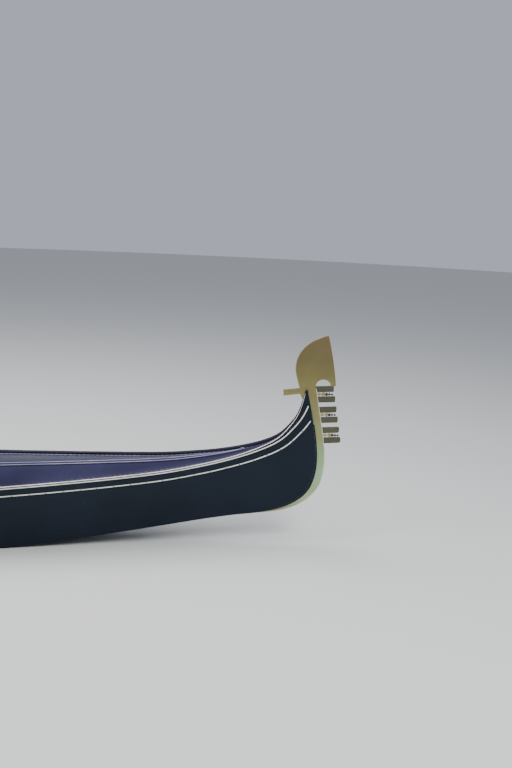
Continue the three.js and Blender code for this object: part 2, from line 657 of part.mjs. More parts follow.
add('bow_iron', bowIron(), MATERIAL.iron);
add('stern_iron', sternIron(), MATERIAL.iron);
add('floor_frames', floorFrames(), MATERIAL.varnish);
add('fore_floorboards', floorboards(1300, 2690), MATERIAL.boards);
add('cabin_floorboards', floorboards(-930, 1290), MATERIAL.boards);
add('aft_floorboards', floorboards(-1900, -980), MATERIAL.boards);
add('bow_bulkhead', lockerWall(BOW_DOOR), MATERIAL.lacquer);
add('stern_bulkhead', lockerWall(STERN_DOOR), MATERIAL.lacquer);
add('bow_locker_door', lockerDoor(BOW_DOOR), MATERIAL.lacquer);
add('stern_locker_door', lockerDoor(STERN_DOOR), MATERIAL.lacquer);
add('fore_thwart', thwart(1430, 180, 24), MATERIAL.lacquer);
add('aft_thwart', thwart(-1120, 160, 24), MATERIAL.lacquer);
const seatYs = [SEAT.y - SEAT.half, SEAT.y + SEAT.half];
add('seat_base', standing([SEAT.back, SEAT.front], seatYs, SEAT.height), MATERIAL.lacquer);
add('seat_back', seatBack(), MATERIAL.lacquer);
const CUSHION = { half: SEAT.half - SEAT.arm - 6, thick: 100, back: [75, 470], seam: 2 };
const backFace = SEAT_BACK.x + SEAT_BACK.thick / 2 + GAP;
add('seat_cushion', seatBox(-CUSHION.half, CUSHION.half, SEAT.height + GAP, SEAT.height + CUSHION.thick,
  backFace + CUSHION.back[0] + CUSHION.seam, SEAT.front + 5), MATERIAL.velvet);
add('seat_back_cushion', seatBox(-CUSHION.half, CUSHION.half, SEAT.height + GAP,
  SEAT.height + CUSHION.back[1], backFace, backFace + CUSHION.back[0]), MATERIAL.velvet);
add('crutch_block', socketBlock(), MATERIAL.varnish);
add('oar_crutch', crutch(), MATERIAL.walnut);
add('foot_wedge', footWedge(), MATERIAL.varnish);

export default group;
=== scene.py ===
"""Looks of a rowing gondola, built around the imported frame.
Metres, +X forward, +Y port, +Z up. The floor lies at the waterline of the empty boat."""
import json
import math
import bmesh
import bpy
import numpy as np
from mathutils import Matrix, Vector
from mathutils.bvhtree import BVHTree


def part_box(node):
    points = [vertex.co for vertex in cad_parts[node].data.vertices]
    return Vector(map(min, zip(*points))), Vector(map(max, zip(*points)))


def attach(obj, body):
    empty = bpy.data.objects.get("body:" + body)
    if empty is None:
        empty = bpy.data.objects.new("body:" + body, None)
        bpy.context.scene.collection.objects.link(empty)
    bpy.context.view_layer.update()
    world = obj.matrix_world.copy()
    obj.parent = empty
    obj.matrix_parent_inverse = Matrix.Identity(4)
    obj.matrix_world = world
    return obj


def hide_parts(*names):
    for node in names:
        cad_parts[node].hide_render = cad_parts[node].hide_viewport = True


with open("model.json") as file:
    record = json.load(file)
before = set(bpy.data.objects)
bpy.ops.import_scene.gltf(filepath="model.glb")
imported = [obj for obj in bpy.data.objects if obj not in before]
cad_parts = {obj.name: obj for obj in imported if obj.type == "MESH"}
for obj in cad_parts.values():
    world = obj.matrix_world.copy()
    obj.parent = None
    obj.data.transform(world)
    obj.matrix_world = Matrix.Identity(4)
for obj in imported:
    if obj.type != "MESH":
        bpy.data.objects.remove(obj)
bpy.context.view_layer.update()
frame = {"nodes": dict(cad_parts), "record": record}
NODES = frame["nodes"]

# Camera, solved from the outline of the bow in the photograph
CAMERA = {"pos": (4.422, -5.780, 2.513), "azimuth": -3.744, "elevation": 11.477, "roll": 2.431}
FOCAL_PX, FRAME_PX, SENSOR_MM = 842.462, 768, 36.0
WATERLINE = 0.17

# Driving dimensions of the hull, as in the CAD model
STEM_X, STEM_HALF, CHINE_END = 5.190, 0.026, 4.750
BEAM = {-1: 0.590, 1: 0.830}
CHINE = {-1: 0.400, 1: 0.480}
SKIN, BULGE = 0.012, 0.018
RAIL_WIDTH, RAIL_HEIGHT = 0.034, 0.050
DECK_DROP, DECK_CROWN, DECK_CLEAR, DECK_THICK = 0.016, 0.134, 0.0018, 0.014
IRON_HALF = 0.006

# Hull lines, one row a station from the stern to the bow:
# sheer x, sheer z, lower edge x, lower edge z (the chine, then up the stem)
STATIONS = np.array([
    [-5.272, 1.420, -5.280, 1.424],
    [-5.262, 1.390, -5.318, 1.250],
    [-5.245, 1.350, -5.325, 1.050],
    [-5.205, 1.282, -5.290, 0.860],
    [-5.120, 1.202, -5.205, 0.690],
    [-4.990, 1.120, -5.060, 0.560],
    [-4.800, 1.030, -4.850, 0.470],
    [-4.550, 0.945, -4.560, 0.400],
    [-4.150, 0.845, -4.150, 0.322],
    [-3.450, 0.735, -3.450, 0.212],
    [-2.500, 0.645, -2.500, 0.111],
    [-1.500, 0.598, -1.500, 0.040],
    [-0.550, 0.577, -0.550, 0.000],
    [0.550, 0.577, 0.550, 0.000],
    [1.500, 0.592, 1.500, 0.040],
    [2.450, 0.625, 2.450, 0.107],
    [3.300, 0.672, 3.300, 0.194],
    [4.053, 0.731, 4.053, 0.293],
    [4.412, 0.782, 4.405, 0.344],
    [4.650, 0.833, 4.650, 0.375],
    [4.840, 0.894, 4.880, 0.405],
    [4.975, 0.963, 5.050, 0.453],
    [5.062, 1.054, 5.170, 0.531],
    [5.110, 1.130, 5.232, 0.635],
    [5.136, 1.205, 5.254, 0.790],
    [5.149, 1.262, 5.229, 1.010],
    [5.156, 1.305, 5.162, 1.308],
])
LAST = len(STATIONS) - 1
SHEER_X, SHEER_Z, LOWER_X, LOWER_Z = range(4)
SIDES = {"starboard": -1, "port": 1}

SHEER, LOWER = (SHEER_X, SHEER_Z), (LOWER_X, LOWER_Z)


def stack(*columns):
    """Points from their coordinates, each a number or an array."""
    return np.stack(np.broadcast_arrays(*columns), -1)


def catmull(a, b, c, d, t):
    """Catmull-Rom curve from b to c, at shares t."""
    return b + 0.5 * t * (c - a + t * (2 * a - 5 * b + 4 * c - d + t * (3 * (b - c) + d - a)))


def station(s, column):
    """Smooth curve through one column of the stations, at station numbers s."""
    s = np.asarray(s, float)
    i = np.clip(np.floor(s).astype(int), 0, LAST - 1)
    a, b, c, d = (STATIONS[np.clip(i + k, 0, LAST), column] for k in (-1, 0, 1, 2))
    return np.where((column == LOWER_Z) & (b == c), b, catmull(a, b, c, d, s - i))


def station_rows(s):
    """Sheer x and z, lower edge x and z."""
    return [station(s, column) for column in range(4)]


def sheer_z(x):
    s = np.linspace(0, LAST, 2601)
    return station(np.interp(x, station(s, SHEER_X), s), SHEER_Z)


def fullness(x):
    return np.maximum(0, 1 - (np.asarray(x) / STEM_X) ** 2)


def sheer_half(side, x):
    return np.hypot(BEAM[side] * fullness(x), STEM_HALF)


def chine_half(side, x):
    return np.hypot(CHINE[side] * np.maximum(0, 1 - (np.abs(x) / CHINE_END) ** 1.8), STEM_HALF)


def skin(side, s, v, inset=0.0):
    """Points of the outer skin at station numbers s and heights v, 0 lower edge to 1 sheer."""
    xt, zt, xb, zb = station_rows(s)
    swell = BULGE * np.sin(np.pi * np.clip(v, 0, 1)) * fullness(xb + (xt - xb) * v)
    half = chine_half(side, xb) * (1 - v) + sheer_half(side, xt) * v + swell
    return stack(xb + (xt - xb) * v, side * (half - inset), zb + (zt - zb) * v)


def height_at(side, s):
    """Length of the side from its lower edge to the sheer."""
    return np.linalg.norm(skin(side, s, 1.0) - skin(side, s, 0.0), axis=-1)


def unit(vectors):
    return vectors / np.maximum(np.linalg.norm(vectors, axis=-1, keepdims=True), 1e-12)


def outward(side, s, v):
    """Outward normal of the skin."""
    step = 0.01
    along = skin(side, s + step, v) - skin(side, s - step, v)
    up = skin(side, s, v + step) - skin(side, s, v - step)
    return unit(np.cross(up, along)) * side


def beside(s, edge, distance, step):
    """Side-view points a distance off an edge, square to it: under the sheer, outside the lower edge."""
    dx, dz = (station(s + step, k) - station(s - step, k) for k in edge)
    length = np.hypot(dx, dz)
    return stack(station(s, edge[0]) + dz / length * distance, station(s, edge[1]) - dx / length * distance)


def on_skin(side, x, z, guess):
    """The skin's points and normals at side-view places, found from nearby station numbers."""
    def miss(s):
        xt, zt, xb, zb = station_rows(s)
        return (x - xb) * (zt - zb) - (z - zb) * (xt - xb)
    s, step = np.array(guess, float), 1e-3
    for _ in range(14):
        slope = (miss(s + step) - miss(s - step)) / (2 * step)
        s = np.clip(s - np.clip(miss(s) / slope, -0.15, 0.15), 0, LAST)
    xt, zt, xb, zb = station_rows(s)
    v = ((x - xb) * (xt - xb) + (z - zb) * (zt - zb)) / ((xt - xb) ** 2 + (zt - zb) ** 2)
    return skin(side, s, v), outward(side, s, v)


# Mesh helpers. SLOT is the record slot of a material's pieces, where it isn't the material's own name

SLOT = {"gilt": "brass", "border": "deck_lacquer", "rail_lacquer": "lacquer",
        "strip": None, "rope": None, "sky_glint_metal": None, "prong_shade_iron": "bow_iron", "back_edge_highlight_iron": "bow_iron",
        "rim_highlight_iron": "bow_iron", "worn_gilt": "bow_iron", "dark_iron": "bow_iron"}


def dress(obj, mat, slot=None, body="hull", smooth_angle=40):
    """Material, shading and body of a new piece."""
    obj.data.materials.append(MAT[mat])
    obj.data.polygons.foreach_set("use_smooth", [True] * len(obj.data.polygons))
    obj.data.set_sharp_from_angle(angle=math.radians(smooth_angle))
    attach(obj, body)
    slot = slot or SLOT.get(mat, mat)
    return obj


def new_object(name, data):
    obj = bpy.data.objects.new(name, data)
    bpy.context.scene.collection.objects.link(obj)
    return obj


def gather(parts):
    """One vertex and face list from several."""
    verts, faces, base = [], [], 0
    for part_verts, part_faces in parts:
        verts.append(np.asarray(part_verts, float))
        faces += [tuple(i + base for i in f) for f in part_faces]
        base += len(part_verts)
    return np.concatenate(verts), faces


def mesh(name, part, mat, slot=None, body="hull", smooth_angle=40):
    """A piece from vertices and faces, or from a list of such pairs."""
    verts, faces = gather(part) if isinstance(part, list) else part
    data = bpy.data.meshes.new(name)
    data.from_pydata(verts.tolist(), [], faces)
    bm = bmesh.new()
    bm.from_mesh(data)
    bmesh.ops.recalc_face_normals(bm, faces=bm.faces)
    bm.to_mesh(data)
    bm.free()
    return dress(new_object(name, data), mat, slot, body, smooth_angle)


def loft(points, caps=True, closed=False):
    """Vertices and faces of rings of points, each ring a closed loop: (rings, n, 3)."""
    rings, n = points.shape[:2]
    faces = []
    for r in range(rings if closed else rings - 1):
        a, b = r * n, ((r + 1) % rings) * n
        faces += [(a + k, a + (k + 1) % n, b + (k + 1) % n, b + k) for k in range(n)]
    if caps and not closed:
        faces += [tuple(range(n - 1, -1, -1)), tuple(range((rings - 1) * n, rings * n))]
    return points.reshape(-1, 3), faces


def sweep(path, section, side_hint, scale=1.0):
    """Rings of a flat section (n, 2) carried along a path (m, 3). Section x goes along side_hint."""
    path = np.asarray(path, float)
    tangent = unit(np.gradient(path, axis=0))
    hint = np.broadcast_to(np.asarray(side_hint, float), path.shape)
    across = unit(hint - np.sum(hint * tangent, -1, keepdims=True) * tangent)
    up = np.cross(tangent, across)
    section = section * np.broadcast_to(scale, len(path))[:, None, None]
    return path[:, None] + section[..., :1] * across[:, None] + section[..., 1:] * up[:, None]


def bar(path, section, side_hint, scale=1.0):
    """A solid bar of a flat section along a path."""
    return loft(sweep(path, section, side_hint, scale))


def ring_sweep(points, section, hint):
    """A closed tube round a loop of points."""
    wrapped = np.concatenate([points[-1:], points, points[:1]])
    return loft(sweep(wrapped, section, hint)[1:-1], closed=True)


def circle(radius, n=10, flat=1.0):
    angle = np.arange(n) * 2 * np.pi / n
    return radius * stack(np.cos(angle) * flat, np.sin(angle))


def half_round(width, proud, n=7):
    angle = np.linspace(0, np.pi, n)
    arch = stack(proud * np.sin(angle), -width / 2 * np.cos(angle))
    return np.concatenate([arch, [[-0.001, width / 2], [-0.001, -width / 2]]])


def above(path):
    """Upward normals of a line that runs forward."""
    return unit(np.cross(unit(np.gradient(path, axis=0)), [0.0, 1.0, 0.0]))


def tapered(at, run, least):
    """Scale at distances along a line whose two ends grow from least to full over a run."""
    return np.clip(np.minimum(at, at[-1] - at) / run, least, 1)


def resample(path, step):
    """The same line with points about step apart, and their distance along it."""
    path = np.asarray(path, float)
    length = np.concatenate([[0], np.cumsum(np.linalg.norm(np.diff(path, axis=0), axis=1))])
    at = np.linspace(0, length[-1], max(2, int(length[-1] / step) + 1))
    return stack(*(np.interp(at, length, column) for column in path.T)), at


def curve_through(points, per=8, closed=False):
    """Smooth curve through a few points, per steps a span."""
    points = np.asarray(points, float)
    n = len(points)
    share = np.arange(per)[:, None] / per
    out = []
    for i in range(n if closed else n - 1):
        ids = [(i + k) % n if closed else min(max(i + k, 0), n - 1) for k in (-1, 0, 1, 2)]
        out.append(catmull(*points[ids], share))
    return np.concatenate(out if closed else out + [points[-1:]])


def quadratic(a, b, c, n=14):
    t = np.linspace(0, 1, n)[:, None]
    return (1 - t) ** 2 * np.array(a) + 2 * t * (1 - t) * np.array(b) + t ** 2 * np.array(c)


def bezier(a, b, c, d, n=18):
    t = np.linspace(0, 1, n)[:, None]
    a, b, c, d = (np.array(p, float) for p in (a, b, c, d))
    return (1 - t) ** 3 * a + 3 * t * (1 - t) ** 2 * b + 3 * t ** 2 * (1 - t) * c + t ** 3 * d


def arc(centre, radii, start, stop, n=6):
    angle = np.linspace(start, stop, n)
    return stack(centre[0] + radii[0] * np.cos(angle), centre[1] + radii[1] * np.sin(angle))


def tube(points, radii, n=10, flat=1.0, hint=(0, 1, 0), per=6):
    """A tapering tube through a few points, its section flattened along hint."""
    line = curve_through(np.column_stack([points, radii]), per)
    return bar(line[:, :3], circle(1.0, n, flat), hint, np.maximum(line[:, 3], 0.0004))


def plate(outline, half, bevel, y=0.0, resolution=2):
    """Vertices and faces of an upright plate with rounded edges, its outline drawn in x and z."""
    curve = bpy.data.curves.new("outline", "CURVE")
    curve.dimensions, curve.fill_mode = "2D", "BOTH"
    curve.extrude, curve.bevel_depth, curve.bevel_resolution = half - bevel, bevel, resolution
    curve.offset = -bevel
    spline = curve.splines.new("POLY")
    spline.points.add(len(outline) - 1)
    for point, (u, w) in zip(spline.points, outline):
        point.co = (u, w, 0, 1)
    spline.use_cyclic_u = True
    holder = bpy.data.objects.new("outline", curve)
    data = bpy.data.meshes.new_from_object(holder)
    bm = bmesh.new()
    bm.from_mesh(data)
    for v in bm.verts:
        v.co = (v.co.x, v.co.z + y, v.co.y)
    bmesh.ops.remove_doubles(bm, verts=bm.verts, dist=1e-6)
    bm.verts.index_update()
    part = (np.array([v.co[:] for v in bm.verts]), [tuple(v.index for v in f.verts) for f in bm.faces])
    bm.free()
    bpy.data.objects.remove(holder)
    bpy.data.meshes.remove(data)
    return part


def lathe(profile, n=20, axis=2, at=(0, 0, 0)):
    """Turned shape: profile rows are height and radius."""
    profile = np.asarray(profile, float)
    ring = np.maximum(profile[:, 1], 0.0002)[:, None, None] * circle(1.0, n)
    points = np.insert(ring, axis, 0, axis=-1)
    points[..., axis] = profile[:, :1]
    return loft(points + at)


# Carving, drawn on a face: in x and z and raised in y, or in y and z and raised in x

UPRIGHT = np.array([[1, 0, 0], [0, 0, 1], [0, 1, 0]])
CROSS = np.array([[0, 1, 0], [0, 0, 1], [1, 0, 0]])


def relief(u, w, at, width, proud, scale, axes, facing=1):
    """A half-round raised along a line on a face."""
    return bar(stack(u, w, at) @ axes, half_round(width, proud), [0, 0, facing] @ axes, scale)


def scroll(centre, radius, turns, start, width, axes=CROSS, mirror=1, at=0.0, proud=0.006):
    """A carved spiral that grows thinner towards its eye."""
    t = np.linspace(0, 1, int(40 * turns))
    angle = start + 2 * np.pi * turns * t * mirror
    reach = radius * (1 - 0.82 * t)
    scale = 0.35 + 0.65 * (1 - t) ** 0.7
    u, w = centre[0] + reach * np.cos(angle), centre[1] + reach * np.sin(angle)
    return relief(u, w, at, width, proud, scale, axes)


def leaf_spray(centre, size, mirror, at, axes=CROSS, proud=0.005):
    """Half of a carved spray: two scrolls and three leaves, drawn outwards from its middle."""
    u, w = centre
    parts = [scroll((u + mirror * size * 0.42, w + size * 0.10), size * 0.30, 1.6, math.pi * (mirror < 0),
                    size * 0.13, axes, mirror, at, proud),
             scroll((u + mirror * size * 1.05, w - size * 0.04), size * 0.22, 1.5, math.pi * (mirror > 0),
                    size * 0.11, axes, -mirror, at, proud)]
    t = np.linspace(0, 1, 14)
    scale = np.sin(np.pi * np.clip(t, 0.03, 0.97)) ** 0.7
    for lean, reach in ((0.25, 0.95), (0.75, 0.70), (1.25, 0.52)):
        angle, out = lean + 0.7 * t, size * reach * t
        line = u + mirror * out * np.cos(angle), w + out * np.sin(angle) * 0.8
        parts.append(relief(*line, at, size * 0.16, proud, scale, axes))
    return parts


def rosette(centre, radius, at, axes=CROSS, proud=0.007, facing=1):
    """A carved flower of eight petals, seen face on."""
    t = np.linspace(0.12, 1, 8)
    scale = np.sin(np.pi * (0.12 + 0.8 * (t - 0.12)))
    parts = []
    for angle in 2 * np.pi * np.arange(8) / 8:
        u, w = centre[0] + radius * t * np.cos(angle), centre[1] + radius * t * np.sin(angle)
        parts.append(relief(u, w, at, radius * 0.62, proud, scale, axes, facing))
    dome = np.array([[0, 0.3], [0.4, 0.28], [0.75, 0.2], [1, 0.02]]) * [proud * 1.5 * facing, radius]
    verts, faces = lathe(dome, 14)
    return parts + [((verts + [*centre, at]) @ axes, faces)]


def flower(centre, size, radius, at, facing, axes=CROSS, proud=0.005, middle=0.007, lift=0.0):
    """A rosette with a spray to either side."""
    parts = rosette(centre, radius, at, axes, middle, facing)
    for mirror in (-1, 1):
        parts += leaf_spray(centre, size, mirror, at + facing * lift, axes, facing * proud)
    return parts


def frame_moulding(lo, hi, at, width, proud, axes=CROSS, facing=1):
    """A mitred half-round frame around a rectangle."""
    (u0, w0), (u1, w1) = lo, hi
    corners = np.array([(u0, w0), (u1, w0), (u1, w1), (u0, w1)], float)
    section = half_round(width, proud)
    rings = []
    for k, corner in enumerate(corners):
        mitre = unit(corner - corners[k - 1]) - unit(corners[(k + 1) % 4] - corner)
        mitre = mitre * np.sign(mitre @ (corner - (corners[0] + corners[2]) / 2))
        rings.append(np.column_stack([corner + section[:, 1:] * mitre, at + facing * section[:, 0]]))
    return loft(np.array(rings) @ axes, closed=True)


# Materials

class Shader:
    """A new material, with short ways to add nodes to it. Patterns are in boat coordinates."""

    def __init__(self, name):
        self.mat = bpy.data.materials.new(name)
        self.mat.use_nodes = True
        self.nodes, self.links = self.mat.node_tree.nodes, self.mat.node_tree.links
        self.bsdf = self.nodes["Principled BSDF"]
        self.place = self.add("ShaderNodeTexCoord").outputs["Object"]

    def fill(self, node, inputs):
        """Wires other nodes' outputs to the node's sockets, and sets plain values on them."""
        for key, value in inputs.items():
            if isinstance(value, bpy.types.NodeSocket):
                self.links.new(value, node.inputs[key])
            else:
                node.inputs[key].default_value = value
        return node

    def add(self, kind, inputs=None, **settings):
        node = self.nodes.new(kind)
        for key, value in settings.items():
            setattr(node, key, value)
        return self.fill(node, inputs or {})

    def noise(self, scale, detail=4, stretch=None, distortion=0.0):
        source = self.place
        if stretch:
            source = self.add("ShaderNodeMapping", {"Vector": source, "Scale": stretch}).outputs["Vector"]
        inputs = {"Vector": source, "Scale": scale, "Detail": detail, "Distortion": distortion}
        return self.add("ShaderNodeTexNoise", inputs).outputs["Fac"]

    def ramp(self, factor, *stops):
        """Tones by factor: stops of a place and a colour or a grey."""
        node = self.add("ShaderNodeValToRGB", {"Fac": factor})
        elements = node.color_ramp.elements
        while len(elements) < len(stops):
            elements.new(0.5)
        for element, (place, tone) in zip(elements, stops):
            element.position = place
            element.color = (*np.broadcast_to(tone, 3), 1)
        return node.outputs["Color"]

    def multiply(self, a, b):
        inputs = {"Factor": 1.0, "A": a, "B": b}
        return self.add("ShaderNodeMix", inputs, data_type="RGBA", blend_type="MULTIPLY").outputs["Result"]

    def finish(self, tone, rough, height, strength, distance, **inputs):
        """Wires tone, roughness and a bump to the shader. Its other sockets are named with underscores."""
        bump = self.add("ShaderNodeBump", {"Strength": strength, "Distance": distance, "Height": height})
        self.fill(self.bsdf, {"Base Color": tone, "Roughness": rough, "Normal": bump.outputs["Normal"]})
        self.fill(self.bsdf, {key.replace("_", " "): value for key, value in inputs.items()})
        return self.mat


def lacquer(name, low, high, roughness, specular, coat, planks=None):
    """Hand-rubbed boat lacquer: two near tones, brush waves, dulled patches. planks is a seam spacing."""
    shader = Shader(name)
    patches = shader.noise(2.3)
    tone = shader.ramp(patches, (0.3, low), (0.7, high))
    if planks:
        seams = shader.add("ShaderNodeTexWave", {"Vector": shader.place, "Scale": math.pi / 10 / planks})
        tone = shader.multiply(tone, shader.ramp(seams.outputs["Fac"], (0.0, 0.12), (0.010, 1.0)))
    rough = shader.ramp(patches, (0.35, roughness), (0.75, roughness * 1.9))
    return shader.finish(tone, rough, shader.noise(3.0, 3, (0.6, 9, 9)), 0.10, 0.0015,
                         Specular_IOR_Level=specular, Coat_Weight=coat, Coat_Roughness=0.08)


def wood(name, dark, light, roughness, along=(1.2, 22, 22), coat=0.0):
    """Planks or carved timber with long grain."""
    shader = Shader(name)
    grain = shader.noise(3.5, 8, along, 1.2)
    tone = shader.ramp(grain, (0.32, dark), (0.68, light))
    rough = shader.ramp(grain, (0.3, roughness * 1.3), (0.7, roughness))
    return shader.finish(tone, rough, grain, 0.25, 0.001, Coat_Weight=coat)


def metal(name, low, high, roughness, brush=(40, 40, 2), strength=0.15, metallic=1.0, rise=None):
    """Brushed metal with duller patches. rise adds tones by height: rows of z and colour factor."""
    shader = Shader(name)
    tone = shader.ramp(shader.noise(4.5, 5), (0.3, low), (0.7, high))
    if rise:
        start, end = rise[0][0], rise[-1][0]
        height = shader.add("ShaderNodeSeparateXYZ", {"Vector": shader.place}).outputs["Z"]
        span = shader.add("ShaderNodeMapRange", {"Value": height, "From Min": start, "From Max": end})
        stops = [((z - start) / (end - start), color) for z, color in rise]
        tone = shader.multiply(tone, shader.ramp(span.outputs["Result"], *stops))
    strokes = shader.noise(12.0, 4, brush)
    rough = shader.ramp(strokes, (0.3, roughness), (0.7, min(1, roughness * 1.5)))
    return shader.finish(tone, rough, strokes, strength, 0.0006, Metallic=metallic)


def velvet(name, dark, light):
    """Cut pile: short nap, brushed patches and a soft sheen."""
    shader = Shader(name)
    brushed = shader.noise(9)
    tone = shader.ramp(brushed, (0.3, dark), (0.7, light))
    rough = shader.ramp(brushed, (0.3, 0.95), (0.7, 0.8))
    return shader.finish(tone, rough, shader.noise(900, 2), 0.5, 0.0008,
                         Sheen_Weight=0.35, Sheen_Roughness=0.4, Sheen_Tint=(0.9, 0.35, 0.35, 1))


# Painted reflection on the bow iron, by height: brown at the foot and the blade, greener and lighter
# between
IRON_REFLECTION_BY_HEIGHT = [
    (0.38, (0.60, 0.54, 0.36)), (0.45, (0.78, 0.72, 0.58)), (0.52, (0.84, 0.85, 0.70)),
    (0.70, (0.80, 1.0, 0.80)), (0.79, (0.68, 0.84, 0.64)), (0.95, (0.66, 0.59, 0.37)),
    (1.21, (0.57, 0.44, 0.26)), (1.31, (0.53, 0.39, 0.22)), (1.40, (0.465, 0.33, 0.18)),
    (1.52, (0.375, 0.262, 0.155)), (1.70, (0.40, 0.235, 0.16))]
FINE = (2, 40, 40)
MAT = {
    # Near black with a faint blue-green tint: the tint is painted reflection of the water and surroundings
    "lacquer": lacquer("black_lacquer", (0.005, 0.010, 0.017), (0.008, 0.013, 0.024), 0.16, 0.12, 0.04),
    # Violet-blue of the decks: painted reflection of the sky on black lacquer
    "deck_lacquer": lacquer("deck_lacquer", (0.014, 0.0135, 0.036), (0.023, 0.022, 0.058), 0.16, 0.07, 0.0),
    # Lighter blue copy of the deck lacquer for the carved border: painted reflection of the sky
    "border": lacquer("border_sky_reflection", (0.095, 0.090, 0.155), (0.185, 0.180, 0.280), 0.24, 0.2, 0.05),
    # A more violet copy of the black lacquer for the gunwale: painted reflection of the sky
    "rail_lacquer": lacquer("rail_lacquer", (0.006, 0.007, 0.014), (0.011, 0.012, 0.030), 0.14, 0.12, 0.04),
    "bottom_paint": lacquer("bottom_paint", (0.012, 0.020, 0.022), (0.020, 0.032, 0.034), 0.4, 0.3, 0,
                            planks=0.21),
    "varnished_wood": wood("varnished_larch", (0.10, 0.045, 0.020), (0.26, 0.13, 0.06), 0.35, coat=0.3),
    "floorboards": wood("painted_boards", (0.018, 0.016, 0.020), (0.060, 0.052, 0.055), 0.45),
    "walnut": wood("oiled_walnut", (0.09, 0.040, 0.018), (0.26, 0.13, 0.06), 0.42, (10, 10, 1.0), 0.2),
    # The bow iron's tones by height are painted reflection of its surroundings, not its own colour
    "bow_iron": metal("bow_iron_steel", (0.42, 0.50, 0.36), (0.52, 0.625, 0.45), 0.36, metallic=0.8,
                      rise=IRON_REFLECTION_BY_HEIGHT),
    # Darker copy of the bow iron for the prongs: painted shade, as they reflect less light at their angle
    "prong_shade_iron": metal("prong_shaded_steel", (0.07, 0.075, 0.048), (0.106, 0.104, 0.067), 0.42, FINE,
                        metallic=0.7),
    "dark_iron": metal("dark_steel", (0.030, 0.024, 0.018), (0.065, 0.050, 0.036), 0.40, metallic=0.5),
    # Lighter brown of the blade's back rim: a painted highlight along its rounded edge
    "back_edge_highlight_iron": metal("back_edge_highlight_steel", (0.42, 0.34, 0.24), (0.56, 0.48, 0.35), 0.30, metallic=0.6),
    # Near white of the front and stern rims: a painted highlight along the rolled edges
    "rim_highlight_iron": metal("rim_highlight_steel", (0.80, 0.74, 0.56), (0.92, 0.86, 0.70), 0.28, metallic=0.3),
    # Pale lilac grey: on the ridge beads a painted highlight of the sky on black lacquer; on the stem nails
    # their metal heads, with the sky's highlight painted in
    "sky_glint_metal": metal("sky_glint_beads", (0.19, 0.18, 0.27), (0.36, 0.34, 0.44), 0.30, FINE, metallic=0.5),
    "strip": metal("pale_strip", (0.66, 0.68, 0.58), (0.82, 0.82, 0.72), 0.35, FINE, metallic=0.2),
    "rope": metal("pale_rope", (0.62, 0.54, 0.52), (0.86, 0.78, 0.78), 0.32, FINE, metallic=0.2),
    "brass": metal("polished_brass", (0.60, 0.38, 0.12), (0.78, 0.54, 0.22), 0.22),
    "worn_gilt": metal("worn_gilding", (0.26, 0.19, 0.08), (0.42, 0.33, 0.17), 0.4, (40, 40, 40), 0.3,
                       metallic=0.6),
    "gilt": metal("gilt_carving", (0.52, 0.33, 0.10), (0.72, 0.50, 0.20), 0.34, (20, 20, 20), 0.3),
    "velvet": velvet("red_velvet", (0.105, 0.004, 0.009), (0.215, 0.009, 0.016)),
}


# Hull planking. The nose is where the planks are thinned to meet the bow iron

NOSE = {"from": 19.5, "depth": 0.014, "reach": 0.030}
PARTS = ("aft", "mid", "fore")


def planking(name, side):
    """One side as a closed shell with rounded edges."""
    s = np.linspace(0, LAST, LAST * 10 + 1)
    length = height_at(side, s)
    bow = np.clip((s - NOSE["from"]) / 1.5, 0, 1) * np.clip((LAST - s) / 1.5, 0, 1)

    def thinned(v, inset):
        depth = NOSE["depth"] * bow * np.clip(1 - v * length / NOSE["reach"], 0, 1) ** 2
        return skin(side, s, v, np.maximum(inset, depth))

    steps = np.concatenate([[0, 0.008, 0.018, 0.032, 0.05], np.linspace(0.08, 1, 17)])
    columns = [thinned(v, 0.0) for v in steps] + [skin(side, s, v, SKIN) for v in np.linspace(1, 0, 9)]
    along = unit(np.gradient(stack(station(s, LOWER_X), station(s, LOWER_Z)), axis=0))
    for share, drop in ((0.75, 0.0030), (0.45, 0.0030), (0.2, 0.0016)):
        edge = thinned(0.0, SKIN * share)
        rounding = drop * (1 - bow) * (np.abs(edge[:, 0]) > CHINE_END * 0.9)
        columns.append(edge + stack(along[:, 1] * rounding, 0, -along[:, 0] * rounding))
    piece = mesh(f"{name}_planking", loft(np.stack(columns, 1)), "lacquer")
    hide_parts(*(f"{name}_side_{part}" for part in PARTS))


def nails(name, places, normals, radius, mat="brass"):
    """Small domed nail heads."""
    parts = []
    for place, normal in zip(places, normals):
        line = place + normal * np.array([[-0.001], [0.0002], [0.0008], [0.0012]])
        parts.append(bar(line, circle(radius, 6), (0.3, 0.2, 1.0), [1, 1, 0.75, 0.2]))
    mesh(name, parts, mat, "brass")


# The two pale strips under the sheer: depth amidships, depth at the bow end, station of that end.
# Each keeps its depth between the stations of STRIP_LEVEL
STRIP_WIDTH, STRIP_PROUD, STRIP_STERN, STRIP_STEP = 0.0085, 0.0018, 2.2, 0.006
STRIP_LEVEL = (6.5, 18.5)
STRIPS = {"upper": (0.009, 0.041, 24.036), "lower": (0.066, 0.097, 23.015)}
NAIL_PITCH = 0.112


